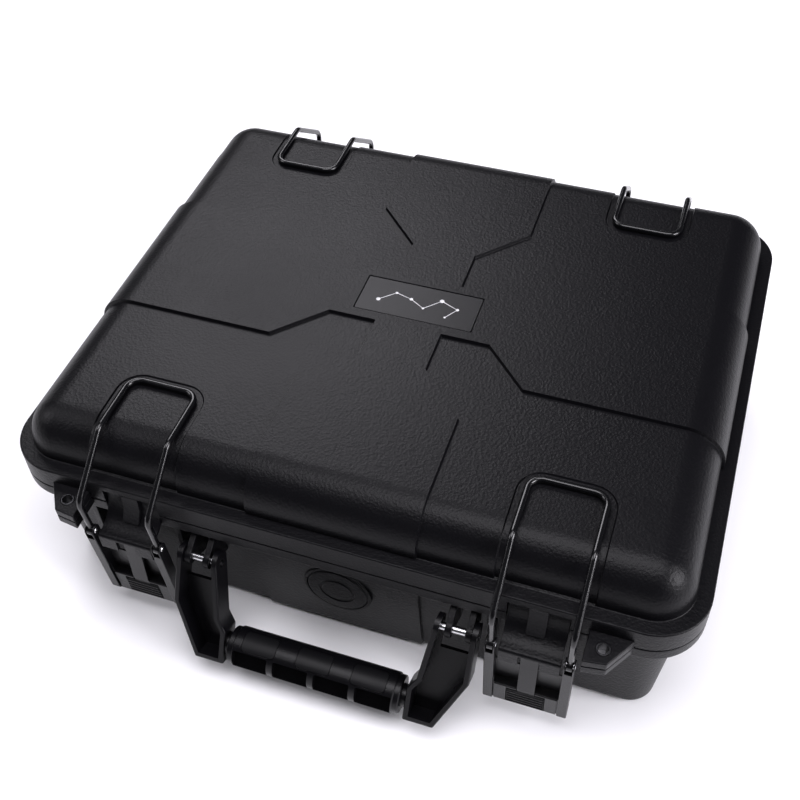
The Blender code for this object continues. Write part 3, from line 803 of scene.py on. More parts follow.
def tub_outer_profile():
    """(inset, z) from the seam down the rim and the leaning wall to the flat underside."""
    seam = SEAM_Z - GAP / 2
    bottom = sizes().rim_bottom
    profile = [(SEAM_ROUND - x, seam - SEAM_ROUND + z)
               for x, z in arc((0, 0), SEAM_ROUND, 90, 0, 3)]
    profile += [(0.0015 - x, bottom + 0.0015 - z) for x, z in arc((0, 0), 0.0015, 0, 90, 4)]
    profile += [(0.0094, bottom), (0.0106, bottom - 0.0004), (0.0111, bottom - 0.0014)]
    return profile + [(FOOT_INSET + FOOT_RADIUS - x, FOOT_RADIUS - z)
                      for x, z in arc((0, 0), FOOT_RADIUS, 0, 90, 8)]


def tub_inner_profile():
    """(inset, z) from the floor's edge up the inner wall to the seam."""
    return [(0.0290, 0.0038), (0.0250, 0.0045), (0.0222, 0.0070), (0.0212, 0.0110),
            (0.0150, sizes().rim_bottom), (0.0146, SEAM_Z - 0.0008), (0.0140, SEAM_Z - GAP / 2)]


def fork(near, far):
    """One ear of the handle's bracket, between two places along X."""
    nose = arc(HANDLE_PIVOT.yz, 0.0056, 90, 270, 14)
    outline = [(-0.1600, 0.0860), (-0.1740, 0.0860), *nose, (-0.1600, 0.0560)]
    return side_prism(outline, near, far)


def hinge_fork(centre):
    """One ear that holds a rear hinge pin."""
    nose = arc((PIVOT_Y, HINGE_Z), 0.0048, 60, -90, 12)
    outline = [(0.1600, 0.0880), (0.1880, 0.0880), *nose, (0.1800, 0.0730), (0.1600, 0.0580)]
    return side_prism(outline, centre - HINGE_FORK_HALF, centre + HINGE_FORK_HALF)


def gusset(near, far):
    """Web between the front wall and the rim."""
    outline = ((-0.160, 0.092), (-0.1775, 0.092), (-0.1775, 0.060), (-0.1690, 0.042),
               (-0.160, 0.042))
    return side_prism(outline, near, far)


def bore(start_x, end_x, y, z, radius):
    """Cutter for a pin's hole along X."""
    return rod((start_x, y, z), (end_x, y, z), radius + GAP)


def front_disc(near_y, far_y, radius, sides=32):
    """Round block or cutter along Y at the valve."""
    return rod((0, near_y, VALVE_Z), (0, far_y, VALVE_Z), radius, sides)


def inside_room():
    """Clears everything that the fittings' roots leave inside the tub."""
    profile = ((0.0280, 0.0050), (0.0216, 0.0111), (0.0152, sizes().rim_bottom),
               (0.0150, SEAM_Z - 0.001))
    return loft([rim_ring(inset, z) for inset, z in profile])


def build_tub():
    """Shell with the band, then the boss, forks, ears and gussets, and their holes."""
    s = sizes()
    bm = shell_of(tub_inner_profile(), tub_outer_profile())
    outline = band_outline()
    score_outline(bm, outline, s.step_width)
    raise_relief(bm, [(outline, s.band_rise)], (0.0020, 0.0060), s.rim_bottom - 0.001)
    tub = to_object(bm, "tub_skin")
    join(tub, soften(front_disc(BOSS_ROOT_Y, BOSS_FACE_Y, BOSS_RADIUS, 64), 0.0006, 2, 60))
    for _, side in SIDES:
        latch = side * LATCH_X
        join(tub, *(fork(side * near, side * far) for near, far in FORK_SPANS),
             hinge_fork(latch - HINGE_FORK_OFFSET), hinge_fork(latch + HINGE_FORK_OFFSET),
             ear(side, low("padlock_bush_base_right").z + 0.0004, SEAM_Z - GAP / 2),
             *(gusset(side * near, side * far) for near, far in GUSSET_SPANS))
    cut(tub, inside_room(), front_disc(VALVE_SEAT_Y, CLEAR_Y, VALVE_SEAT_RADIUS, 64),
        front_disc(-0.15, CLEAR_Y, VALVE_BORE))
    for _, side in SIDES:
        latch = side * LATCH_X
        cut(tub, ear_bore(side, 0.085, 0.105), latch_relief(side, 0.08, 0.105),
            bore(side * 0.070, side * 0.098, *HANDLE_PIVOT.yz, HANDLE_PIN_RADIUS),
            bore(latch - 0.028, latch + 0.028, PIVOT_Y, HINGE_Z, PIN_RADIUS))
    finish_piece(tub, "tub_skin", "base", "case_plastic", ("base_shell",))


# ---- wire loops -------------------------------------------------------------
def tree_with_inputs(name, inputs):
    """An empty geometry tree with named inputs; returns it, its graph and its sockets."""
    tree = bpy.data.node_groups.new(name, "GeometryNodeTree")
    tree.interface.new_socket("Geometry", in_out="INPUT", socket_type="NodeSocketGeometry")
    tree.interface.new_socket("Geometry", in_out="OUTPUT", socket_type="NodeSocketGeometry")
    for label, kind, default in inputs:
        socket = tree.interface.new_socket(label, in_out="INPUT", socket_type=kind)
        if default is not None:
            socket.default_value = default
    graph = Graph(tree)
    entry = tree.nodes.new("NodeGroupInput")
    sockets = {output.name: Value(graph, output) for output in entry.outputs if output.name}
    return tree, graph, sockets


def close_tree(graph, geometry, finish):
    """Realize, set the material and end the tree."""
    solid = graph.node("GeometryNodeRealizeInstances", None, {"Geometry": geometry})
    painted = graph.node("GeometryNodeSetMaterial", None, {"Geometry": solid, "Material": finish})
    leave = graph.tree.nodes.new("NodeGroupOutput")
    graph.tree.links.new(painted.socket, leave.inputs[0])


def run_tree(item, tree, values):
    """Set a tree's inputs by identifier, evaluate it and keep the plain mesh."""
    step = item.modifiers.new(tree.name, "NODES")
    step.node_group = tree
    for socket in tree.interface.items_tree:
        if socket.in_out == "INPUT" and socket.name in values:
            step[socket.identifier] = values[socket.name]
    return apply_modifiers(item)


def wire_tree():
    """Bends a path's corners round and sweeps the wire's section along it."""
    tree, graph, ins = tree_with_inputs("bent_wire", (
        ("Wire Radius", "NodeSocketFloat", 0.0020), ("Bend Radius", "NodeSocketFloat", 0.0085),
        ("Sides", "NodeSocketInt", 20), ("Finish", "NodeSocketMaterial", None)))
    path = graph.node("GeometryNodeMeshToCurve", None, {"Mesh": ins["Geometry"]})
    bent = graph.node("GeometryNodeFilletCurve", {"mode": "POLY"},
                      {"Curve": path, "Count": 8, "Radius": ins["Bend Radius"],
                       "Limit Radius": True})
    section = graph.node("GeometryNodeCurvePrimitiveCircle", {"mode": "RADIUS"},
                         {"Resolution": ins["Sides"], "Radius": ins["Wire Radius"]})
    swept = graph.node("GeometryNodeCurveToMesh", None,
                       {"Curve": bent, "Profile Curve": section, "Fill Caps": True})
    close_tree(graph, swept, ins["Finish"])
    return tree


def path_object(points):
    """A path as a chain of edges, for a tree to sweep along."""
    mesh = bpy.data.meshes.new("path")
    mesh.from_pydata([tuple(p) for p in points], [(i, i + 1) for i in range(len(points) - 1)], [])
    return in_scene(mesh, "path")


# (y, z) of a wire's corners above its foot: over the rim, at the lid's edge, at the cross bar
LOOP_CORNERS = ((0.1960, 0.1172), (0.1580, 0.1454), (0.1160, 0.1454))


def loop_path(centre, way, foot):
    """One loop from eye to eye: up, over the rim, along the lid and round the cross bar."""
    half = [(LEG, PIVOT_Y, foot + EYE_RADIUS - 0.001)]
    half += [(LEG, y, z) for y, z in LOOP_CORNERS]
    path = [(centre - x, way * y, z) for x, y, z in half]
    return path + [(centre + x, way * y, z) for x, y, z in reversed(half)]


def build_loop(name, side, way, body, tree):
    """A wire loop with a bored eye at each foot; way is -1 at the front, 1 at the back."""
    s = sizes()
    foot = PIVOT_Z if way < 0 else HINGE_Z
    centre = side * LATCH_X
    loop = run_tree(path_object(loop_path(centre, way, foot)), tree,
                    {"Wire Radius": s.wire_radius, "Bend Radius": s.wire_bend, "Sides": 20,
                     "Finish": material("coated_wire")})
    for x in (centre - LEG, centre + LEG):
        y = way * PIVOT_Y
        eye = rod((x - 0.002, y, foot), (x + 0.002, y, foot), EYE_RADIUS, 40)
        join(loop, soften(eye, 0.0006, 3, 60))
        cut(loop, bore(x - 0.004, x + 0.004, y, foot, PIN_RADIUS))
    finish_piece(loop, f"{name}_wire", body, "coated_wire", (name,))


def build_wire_loops():
    """Bails at the front, hinge loops at the back."""
    tree = wire_tree()
    for tag, side in SIDES:
        build_loop(f"latch_bail_{tag}", side, -1, f"bail_{tag}", tree)
        build_loop(f"hinge_strap_{tag}", side, 1, "lid", tree)


# ---- latch levers and slides --------------------------------------------------
LEVER_TILT = radians(4)
LEVER_DEPTH = 0.0040        # half the arm's depth, and its end radius
ARM_HALF = 0.0031
SLOT_HALF = 0.0023          # slot in an arm's top for the wire's eye
BAR_FRONT_Y, BAR_BACK_Y = -0.1968, -0.1903
WINDOW_HALF = 0.0120        # window in the bar that the slide runs in
SLIDE_HALF, TONGUE_HALF = 0.0117, 0.0054


def lean(item):
    """Turn a piece drawn upright back to the lever's lean about its pivot."""
    to_pivot = Matrix.Translation((0, -PIVOT_Y, PIVOT_Z))
    item.data.transform(to_pivot @ Matrix.Rotation(LEVER_TILT, 4, "X") @ to_pivot.inverted())
    return item


def lever_arm(x):
    """Rounded bar beside the wire's leg, split at the top for the wire's eye."""
    foot = low("latch_lever_right").z + LEVER_DEPTH
    outline = arc((-PIVOT_Y, PIVOT_Z), LEVER_DEPTH, 0, 180, 16)
    outline += arc((-PIVOT_Y, foot), LEVER_DEPTH, 180, 360, 16)
    arm = to_object(side_prism(outline, x - ARM_HALF, x + ARM_HALF, 0.0007, 4, 50))
    return cut(arm, block((x - SLOT_HALF, -PIVOT_Y - 0.01, PIVOT_Z - 0.0055),
                          (x + SLOT_HALF, -PIVOT_Y + 0.01, PIVOT_Z + 0.02)))


def build_lever(tag, side):
    """Two arms, the cross bar and web between them, and the window that the slide runs in."""
    centre = side * LATCH_X
    inner = LEG - ARM_HALF + 0.0008

    def across(half, low_y, low_z, high_y, high_z, *rounding):
        return block((centre - half, low_y, low_z), (centre + half, high_y, high_z), *rounding)

    lever = lever_arm(centre - LEG)
    join(lever, mesh_of(lever_arm(centre + LEG)),
         across(inner, BAR_FRONT_Y, 0.0190, BAR_BACK_Y, 0.0405, 0.0009, 3),
         across(inner, -0.1912, 0.0215, -0.1901, 0.0640, 0.0003, 2))
    for edge in (-1, 1):
        x = centre + edge * (LEG - ARM_HALF - 0.0001)
        cut(lever, block((x - 0.0005, -0.199, 0.01), (x + 0.0003, -0.1958, 0.05)))
    cut(lever, across(WINDOW_HALF, -0.21, 0.0197, -0.1941, 0.0390, 0.0004, 2),
        across(TONGUE_HALF + GAP, -0.21, 0.0362, -0.1938, 0.0505),
        across(0.0045, -0.20, 0.0225, -0.1920, 0.0335),
        bore(centre - 0.03, centre + 0.03, -PIVOT_Y, PIVOT_Z, PIN_RADIUS))
    finish_piece(lean(lever), f"lever_{tag}", f"lever_{tag}", "hardware_plastic",
                 (f"latch_lever_{tag}",))


def ridge_tree():
    """Rows of rounded ridges, spaced up the slide's face."""
    tree, graph, ins = tree_with_inputs("slide_ridges", (
        ("Rows", "NodeSocketInt", 5), ("Pitch", "NodeSocketFloat", 0.0033),
        ("Length", "NodeSocketFloat", 0.0228), ("Radius", "NodeSocketFloat", 0.0010),
        ("Start", "NodeSocketVector", (0.0, 0.0, 0.0)), ("Finish", "NodeSocketMaterial", None)))
    step = graph.node("ShaderNodeCombineXYZ", None, {"Z": ins["Pitch"]})
    rows = graph.node("GeometryNodeMeshLine", {"mode": "OFFSET"},
                      {"Count": ins["Rows"], "Start Location": ins["Start"], "Offset": step})
    ridge = graph.node("GeometryNodeMeshCylinder", None,
                       {"Vertices": 14, "Radius": ins["Radius"], "Depth": ins["Length"]})
    placed = graph.node("GeometryNodeInstanceOnPoints", None,
                        {"Points": rows, "Instance": ridge, "Rotation": (0.0, pi / 2, 0.0)})
    close_tree(graph, placed, ins["Finish"])
    return tree


TONGUE = ((-0.1962, 0.0350), (-0.1966, 0.0415), (-0.1932, 0.0658), (-0.1922, 0.0800),
          (-0.1904, 0.0800), (-0.1914, 0.0660), (-0.1946, 0.0425), (-0.1944, 0.0350))
SPRING_STRIP = ((-0.1924, 0.0230), (-0.1940, 0.0280), (-0.1924, 0.0330), (-0.1929, 0.0330),
                (-0.1941, 0.0290), (-0.1941, 0.0270), (-0.1929, 0.0230))


def build_slide(tag, side, tree):
    """Ribbed release slide; its tongue reaches up behind the scoop's notched lip."""
    centre = side * LATCH_X
    slide = to_object(block((centre - SLIDE_HALF, -0.1964, 0.0200),
                            (centre + SLIDE_HALF, -0.1944, 0.0362), 0.0005, 3))
    join(slide, side_prism(TONGUE, centre - TONGUE_HALF, centre + TONGUE_HALF, 0.0004, 2, 50))
    rows = run_tree(path_object([(centre, 0, 0), (centre, 0, 0.001)]), tree,
                    {"Start": (centre, -0.1964, 0.0215), "Finish": material("hardware_plastic")})
    join(slide, outwards(mesh_of(rows)))
    finish_piece(lean(slide), f"slide_{tag}", f"button_{tag}", "hardware_plastic",
                 (f"release_button_{tag}",))


def build_spring(tag, side):
    """Bowed spring strip in the bar, behind the slide."""
    centre = side * LATCH_X
    strip = to_object(prism(SPRING_STRIP, centre - 0.0040, centre + 0.0040, "X"))
    finish_piece(lean(strip), f"spring_strip_{tag}", f"lever_{tag}", "steel",
                 (f"button_spring_{tag}",))


def build_latches():
    tree = ridge_tree()
    for tag, side in SIDES:
        build_lever(tag, side)
        build_slide(tag, side, tree)
        build_spring(tag, side)


# ---- carrying handle ----------------------------------------------------------
GRIP_REACH = 0.0550
GRIP_RADIUS = 0.0128
GRIP_HALF = 0.0565
ARM_WALL = 0.0034
CORE_RADIUS = 0.0070
POCKET_CENTRES = (-0.0405, -0.0135, 0.0135, 0.0405)
POCKET_HALF = 0.0115
HANDLE_TILT = radians(28)
TILE_CENTRES = (-0.0360, 0.0, 0.0360)
TILE_ANGLE = 35


def to_handle_place(item):
    """Turn a piece built hanging straight down out to the rest angle."""
    turn = Matrix.Rotation(-HANDLE_TILT, 4, "X")
    item.data.transform(Matrix.Translation(HANDLE_PIVOT) @ turn)
    return item


def arm_outline(side, inset):
    """(x, reach) outline of one arm, pulled in by inset for its hollow."""
    bottom = GRIP_REACH + 0.0120 - inset
    outer, inner = 0.0960 - inset, 0.0700 + inset
    end = GRIP_HALF + 0.0030 + inset
    points = [(inner, -0.0078), (outer, -0.0078), (outer, 0.0300), (0.0790 - inset * 0.6, bottom),
              (end, bottom), (end, 0.0440), (inner - 0.0055, 0.0360)]
    return [(side * x, reach) for x, reach in points]


def hanging_plate(outline, near, far):
    """Plate that hangs from the handle's pivot, from an (x, reach) outline."""
    return loft([[(x, depth, -reach) for x, reach in outline] for depth in (near, far)])


def build_handle_frame():
    """Two channel arms, open at the back, and the core that joins them through the grip."""
    side_view = arc((0, 0), 0.0079, 0, 180, 20)
    side_view += [(-0.0082, -0.03), (-0.0082, -0.08), (0.0082, -0.08), (0.0082, -0.03)]
    arms = []
    for _, side in SIDES:
        arm = to_object(soften(hanging_plate(arm_outline(side, 0.0), -0.0080, 0.0080), 0.0011, 4))
        near, far = sorted((side * 0.0734, side * 0.0926))
        cut(arm, hanging_plate(arm_outline(side, ARM_WALL), -0.0180, 0.0050),
            block((near, -0.02, -0.0175), (far, 0.02, 0.02)))
        near, far = sorted((side * 0.05, side * 0.10))
        arms.append(combine(arm, side_prism(side_view, near, far, 0.0004, 2, 60), "INTERSECT"))
    reach = GRIP_HALF + 0.004
    left, right = arms
    join(left, mesh_of(right),
         rod((-reach, 0, -GRIP_REACH), (reach, 0, -GRIP_REACH), CORE_RADIUS))
    cut(left, bore(-0.12, 0.12, 0, 0, HANDLE_PIN_RADIUS))
    finish_piece(to_handle_place(left), "handle_arms", "handle", "hardware_plastic",
                 ("handle_frame",))


def tile_block(centre, half, near, far, spread, steps=12):
    """Wedge of a tube round the grip, between two radii."""
    outer = arc((0, 0), far, TILE_ANGLE - spread, TILE_ANGLE + spread, steps)
    inner = arc((0, 0), near, TILE_ANGLE + spread, TILE_ANGLE - spread, steps)
    outline = [(-forward, up - GRIP_REACH) for up, forward in outer + inner]
    return prism(outline, centre - half, centre + half, "X")


def tile_patch(centre, half, reach):
    """Rounded prism that trims a tile's corners, standing out along the tile's middle."""
    patch = prism(rounded_outline(half, reach, 0.0024, 5), 0.0, 0.03)
    turn = Matrix.Rotation(radians(TILE_ANGLE), 4, "X")
    patch.transform(Matrix.Translation((centre, 0, -GRIP_REACH)) @ turn)
    return patch


def in_painted_shade_pocket(point):
    """True on the floor and walls of a grip pocket, below the barrel's round surface; these faces
    get painted shade.
    """
    depth = sqrt(point.y ** 2 + (point.z + GRIP_REACH) ** 2)
    lower_face = point.y < -0.0080 and -0.0100 < point.z + GRIP_REACH < 0.0042
    return lower_face and depth < GRIP_RADIUS - 0.0008 and abs(point.x) < GRIP_HALF - 0.004


def trimmed_tile(centre, near, far, half, reach):
    """One soft tile's block, its corners rounded; larger sizes make the cutter for its seat."""
    tile = to_object(tile_block(centre, 0.0120, near, far, 40))
    return combine(tile, tile_patch(centre, half, reach), "INTERSECT")


def build_grip():
    """Barrel with a collar at each end, four pockets below with painted shade in them, and three
    soft tiles above.
    """
    collar = -GRIP_HALF + 0.0035
    neck = GRIP_RADIUS - 0.0009
    profile = [(-GRIP_HALF, GRIP_RADIUS - 0.0016), (-GRIP_HALF + 0.0006, neck), (collar, neck),
               (collar + 0.0008, GRIP_RADIUS)]
    profile += [(-x, r) for x, r in reversed(profile)]
    grip = to_object(turned(profile, (0, 0, -GRIP_REACH), "X", 64))
    cut(grip, bore(-0.08, 0.08, 0, -GRIP_REACH, CORE_RADIUS))
    for centre in POCKET_CENTRES:
        cut(grip, block((centre - POCKET_HALF, -0.02, -GRIP_REACH - 0.0098),
                        (centre + POCKET_HALF, -0.0086, -GRIP_REACH + 0.0040), 0.0008, 3))
    for centre in TILE_CENTRES:
        cut(grip, mesh_of(trimmed_tile(centre, GRIP_RADIUS - 0.0016, GRIP_RADIUS + 0.003,
                                       0.0113, 0.0069)))
    pockets = [face.index for face in grip.data.polygons if in_painted_shade_pocket(face.center)]
    finish_piece(to_handle_place(grip), "grip_barrel", "handle", "hardware_plastic",
                 ("handle_grip",))
    # painted shade: the pocket faces take the darker matt plastic so that they look as black as
    # shaded pockets
    grip.data.materials.append(material("pocket_dark"))
    for index in pockets:
        grip.data.polygons[index].material_index = 1
    for number, centre in enumerate(TILE_CENTRES, 1):
        tile = trimmed_tile(centre, GRIP_RADIUS - 0.0012, GRIP_RADIUS + 0.0001, 0.0110, 0.0066)
        finish_piece(to_handle_place(tile), f"soft_tile_{number}", "handle", "grip_rubber",
                     (f"grip_tile_{number}",))


def build_handle():
    build_handle_frame()
    build_grip()


# ---- pins, bushes, valve and seal ---------------------------------------------
PIN_TIP = 0.0004
PIN_HALVES = {"lever": 0.0033, "hinge": 0.0262}         # half lengths along X
HANDLE_PIN_SPAN = (0.0702, 0.0958)
BUSH_BORE = 0.0033
NUT_SPAN_Y, NUT_RADIUS, NUT_BORE = (-0.1599, -0.1565), 0.0085, 0.0041


def build_pin(name, near, far, y, z, radius, body):
    profile = [(near, radius - PIN_TIP), (near + PIN_TIP, radius), (far - PIN_TIP, radius),
               (far, radius - PIN_TIP)]
    pin = to_object(turned(profile, (0, y, z), "X", 32))
    finish_piece(pin, f"{name}_steel", body, "steel", (name,))


def build_bush(body, tag, side):
    name = f"padlock_bush_{body}_{tag}"
    bottom, top = low(name).z, high(name).z
    x, y = side * EAR_HOLE.x, EAR_HOLE.y
    collar = rod((x, y, bottom), (x, y, top), EAR_HOLE_RADIUS - GAP, 40)
    bush = to_object(soften(collar, 0.0003, 2, 60))
    cut(bush, rod((x, y, bottom - 0.01), (x, y, top + 0.01), BUSH_BORE, 40))
    finish_piece(bush, f"{name}_steel", body, "steel", (name,), "blackened_steel")


def build_valve():
    """Disc with a ringed face and a stem, and the nut that holds it from inside."""
    face, stem, disc = BOSS_FACE_Y, 0.0038, 0.0197
    profile = [(-0.1560, stem - 0.0008), (-0.1564, stem), (face + 0.0013, stem),
               (face + 0.0013, disc), (face + 0.0002, disc), (face - 0.0004, disc - 0.0006),
               (face - 0.0004, 0.0120), (face + 0.0001, 0.0115), (face + 0.0001, 0.0100),
               (face - 0.0004, 0.0095)]
    cap = to_object(turned(profile, (0, 0, VALVE_Z), "Y", 64))
    finish_piece(cap, "valve_disc", "base", "case_plastic", ("valve_cap",))
    nut = to_object(soften(front_disc(*NUT_SPAN_Y, NUT_RADIUS, 6), 0.0003, 2))
    cut(nut, front_disc(-0.165, -0.150, NUT_BORE))
    finish_piece(nut, "valve_lock_nut", "base", "hardware_plastic", ("valve_nut",))


def build_seal():
    """Seal cord in the lid's groove, with a rounded lip towards the tub."""
    near, far, top = 0.0074, 0.0106, SEAM_Z + 0.0036
    lip = [((near + far) / 2 - x, SEAM_Z + 0.0019 + z)
           for x, z in arc((0, 0), 0.0016, 0, -180, 10)]
    rings = [rim_ring(inset, z) for inset, z in [(near, top)] + lip + [(far, top)]]
    seal = to_object(loft(rings, closed=True))
    finish_piece(seal, "seal_cord", "lid", "seal_rubber", ("lid_seal",))


def build_fittings():
    build_valve()
    build_seal()
    for tag, side in SIDES:
        latch = side * LATCH_X
        build_bush("base", tag, side)
        build_bush("lid", tag, side)
        half = PIN_HALVES["lever"]
        for place, x in (("inner", latch - side * LEG), ("outer", latch + side * LEG)):
            build_pin(f"lever_pin_{tag}_{place}", x - half, x + half, -PIVOT_Y, PIVOT_Z,
                      PIN_RADIUS, f"lever_{tag}")
        half = PIN_HALVES["hinge"]
        build_pin(f"hinge_pin_{tag}", latch - half, latch + half, PIVOT_Y, HINGE_Z,
                  PIN_RADIUS, "base")
        near, far = sorted(side * x for x in HANDLE_PIN_SPAN)
        build_pin(f"handle_pin_{tag}", near, far, *HANDLE_PIVOT.yz, HANDLE_PIN_RADIUS, "base")


# ---- foam -----------------------------------------------------------------------
SCOPE_PROFILE = ((-0.168, 0.022), (-0.120, 0.022), (-0.110, 0.036), (0.030, 0.036),
                 (0.045, 0.050), (0.165, 0.050))        # (x, half width)
SCOPE_Y = 0.072
EYEPIECE_RADIUS = 0.021
BASE_FOAM_RINGS = ((0.0305, 0.0043), (0.0222, 0.0112), (0.0162, 0.0905), (0.0177, 0.0920))


def build_base_foam():
    """Block with rounded cuts for the telescope, two boxes and four eyepieces."""
    floor, top = 0.022, 0.12
    foam = to_object(loft([rim_ring(inset, z) for inset, z in BASE_FOAM_RINGS]))
    scope = [(x, SCOPE_Y + y) for x, y in SCOPE_PROFILE]
    scope += [(x, SCOPE_Y - y) for x, y in reversed(SCOPE_PROFILE)]
    cut(foam, soften(prism(scope, floor, top), 0.003, 3),
        block((-0.170, -0.125, 0.032), (-0.070, -0.030, top), 0.003, 3),
        block((-0.045, -0.125, floor), (0.045, -0.020, top), 0.003, 3))
    for y in (-0.104, -0.048):
        for x in (0.092, 0.146):
            cut(foam, rod((x, y, 0.036), (x, y, top), EYEPIECE_RADIUS, 40))
    cut(foam, block((-0.011, -0.170, VALVE_Z - 0.011), (0.011, -0.1555, top)))
    finish_piece(foam, "fitted_foam", "base", "foam", ("base_foam",))


def crest_tree():
    """Egg-crate crests: moves the underside's points up and down by a product of sines."""
    tree, graph, ins = tree_with_inputs("foam_crests", (
        ("Pitch", "NodeSocketFloat", 0.028), ("Height", "NodeSocketFloat", 0.003),
        ("Level", "NodeSocketFloat", 0.106), ("Finish", "NodeSocketMaterial", None)))
    place = graph.node("GeometryNodeInputPosition")
    split = graph.tree.nodes.new("ShaderNodeSeparateXYZ")
    graph.tree.links.new(place.socket, split.inputs[0])
    x, y, z = (Value(graph, output) for output in split.outputs)
    turn = 2 * pi / ins["Pitch"]
    wave = (x * turn).sine() * (y * turn).sine()
    under = graph.node("FunctionNodeCompare", {"data_type": "FLOAT", "operation": "LESS_THAN"},
                       {0: z, 1: ins["Level"] + 0.0005})
    shift = graph.node("ShaderNodeCombineXYZ", None, {"Z": wave * ins["Height"]})
    moved = graph.node("GeometryNodeSetPosition", None,
                       {"Geometry": ins["Geometry"], "Selection": under, "Offset": shift})
    close_tree(graph, moved, ins["Finish"])
    return tree


def build_lid_foam():
    """Block whose underside is cut into a fine grid, then moved into crests."""
    s = sizes()
    level = low("lid_foam").z
    side_inset = 0.0142
    profile = ((0.0152, level), (side_inset, level + 0.0035), (side_inset, 0.1188),
               (0.0177, 0.1272), (0.0227, 0.1337), (0.0354, high("lid_foam").z))
    bm = loft([rim_ring(inset, z) for inset, z in profile])
    step = s.crest_pitch / 6
    for normal, reach in (((1.0, 0.0, 0.0), RIM_HALF_X - side_inset),
                          ((0.0, 1.0, 0.0), RIM_HALF_Y - side_inset)):
        rows = int(reach / step)
        for k in range(-rows, rows + 1):
            under = [f for f in bm.faces if f.calc_center_median().z < level + 0.001]
            slice_faces(bm, under, Vector(normal) * (k * step), normal)
    foam = run_tree(to_object(bm), crest_tree(),
                    {"Pitch": s.crest_pitch, "Height": s.crest_height, "Level": level,
                     "Finish": material("foam")})
    finish_piece(foam, "crested_foam", "lid", "foam", ("lid_foam",), crisp=False)


def build_foam():
    build_base_foam()
    build_lid_foam()


# ---- name plate -------------------------------------------------------------------
# each star's place on the plate and its relative size
STARS = ((-0.027, -0.004, 1.3), (-0.017, 0.005, 0.9), (-0.006, 0.002, 1.1),
         (0.004, -0.004, 0.8), (0.014, 0.006, 1.4), (0.026, 0.001, 1.0), (0.020, -0.008, 0.7))
STAR_RADIUS = 0.0011
LINE_HALF = 0.00022
INK_SINK, INK_LIFT = 0.0001, 0.00006


def build_plate():
    """Plain satin plate with a printed star group, its stars joined by fine lines."""
    top = high("name_plate").z
    outline = rounded_outline(0.0397, 0.0157, 0.0012, 6)
    plate = to_object(soften(prism(outline, low("name_plate").z, top), 0.0002, 2))
    finish_piece(plate, "plate_body", "lid", "plate", ("name_plate",))
    sunk, lift = top - INK_SINK, top + INK_LIFT
    dots = [rod((x, y, sunk), (x, y, lift), STAR_RADIUS * scale, 24) for x, y, scale in STARS]
    lines = [star_line(Vector(first[:2]), Vector(second[:2]), sunk, lift - 0.00001)
             for first, second in zip(STARS, STARS[1:])]
    ink = join(to_object(dots[0]), *dots[1:], *lines)
    finish_piece(ink, "plate_stars", "lid", "plate", look="printed_stars", crisp=False)


def star_line(start, end, bottom, top):
    along = (end - start).normalized()
    across = Vector((-along.y, along.x)) * LINE_HALF
    outline = [start - across, end - across, end + across, start + across]
    return prism([tuple(p) for p in outline], bottom, top)


# ---- stage ------------------------------------------------------------------------
def build_camera():
    """Camera at the stage's place and angles; back, right and up are its own axes."""
    stage = bpy.context.scene.case_stage
    a, e, r = stage.azimuth, stage.elevation, stage.roll
    back = Vector((sin(a) * cos(e), -cos(a) * cos(e), sin(e)))
    right = Vector((cos(a), sin(a), 0.0))
    up = back.cross(right)
    tilted = right * cos(r) + up * sin(r)
    rotation = Matrix((tilted, back.cross(tilted), back)).transposed()
    data = bpy.data.cameras.new("camera")
    data.lens = stage.lens
    data.clip_start, data.clip_end = 0.01, 50.0
    camera = in_scene(data, "camera")
    camera.matrix_world = Matrix.Translation(stage.camera_place) @ rotation.to_4x4()
    bpy.context.scene.camera = camera


def build_floor():
    base = tuple(bpy.context.scene.case_stage.floor_colour)
    floor_material, graph, shader, place = new_material("pale_floor", 0.6)
    vary_colour(graph, shader, noise(graph, place, 2.0), lighter(base, 0.985), base)
    bm = bmesh.new()
    bmesh.ops.create_grid(bm, x_segments=8, y_segments=8, size=6.0)
    floor = to_object(bm, "floor")
    floor.data.transform(Matrix.Translation((0, 0, -0.0002)))
    floor.data.materials.append(floor_material)


LIGHT_TINT = (0.965, 0.945, 1.0)
ROOM_TINT = (0.94, 0.95, 1.0, 1.0)
ROOM_STRENGTH = 0.06


def area_light(name, place, target, width, height, power):
    data = bpy.data.lights.new(name, "AREA")
    data.shape = "RECTANGLE"
    data.size, data.size_y = width, height
    data.energy = power
    data.color = LIGHT_TINT
    light = in_scene(data, name)
    light.location = place
    light.rotation_mode = "QUATERNION"
    light.rotation_quaternion = (Vector(target) - Vector(place)).to_track_quat("-Z", "Y")


def build_stage():
    """Camera, floor, and soft panels of light at the back left, left, right and top."""
    build_camera()
    build_floor()
    area_light("back_left_softbox", (-1.0, 1.5, 1.9), (-0.05, 0.0, 0.1), 1.3, 0.9, 33.0)
    area_light("left_softbox", (-1.7, -0.5, 1.3), (0, -0.1, 0.05), 0.7, 1.1, 12.0)
    area_light("right_softbox", (1.6, -0.3, 0.9), (0, 0, 0.05), 0.9, 0.7, 36.0)
    area_light("top_softbox", (0.1, -0.35, 2.4), (0, -0.05, 0), 1.8, 1.2, 46.0)
    world = bpy.data.worlds.new("soft_room")
    world.use_nodes = True
    background = world.node_tree.nodes["Background"]
    background.inputs["Color"].default_value = ROOM_TINT
    background.inputs["Strength"].default_value = ROOM_STRENGTH
    bpy.context.scene.world = world
    bpy.context.scene.view_settings.view_transform = "Standard"


# ---- operators, panel and registration ----------------------------------------------
class CARRYCASE_OT_stage(bpy.types.Operator):
    """Floor, soft lights and camera"""
    bl_idname = "carrycase.stage"
    bl_label = "Stage"

    def execute(self, context):
        build_stage()
        return {"FINISHED"}


class CARRYCASE_OT_tub(bpy.types.Operator):
    """Moulded tub with rim, forks and ears"""
    bl_idname = "carrycase.tub"
    bl_label = "Tub"

    def execute(self, context):
        build_tub()
        return {"FINISHED"}


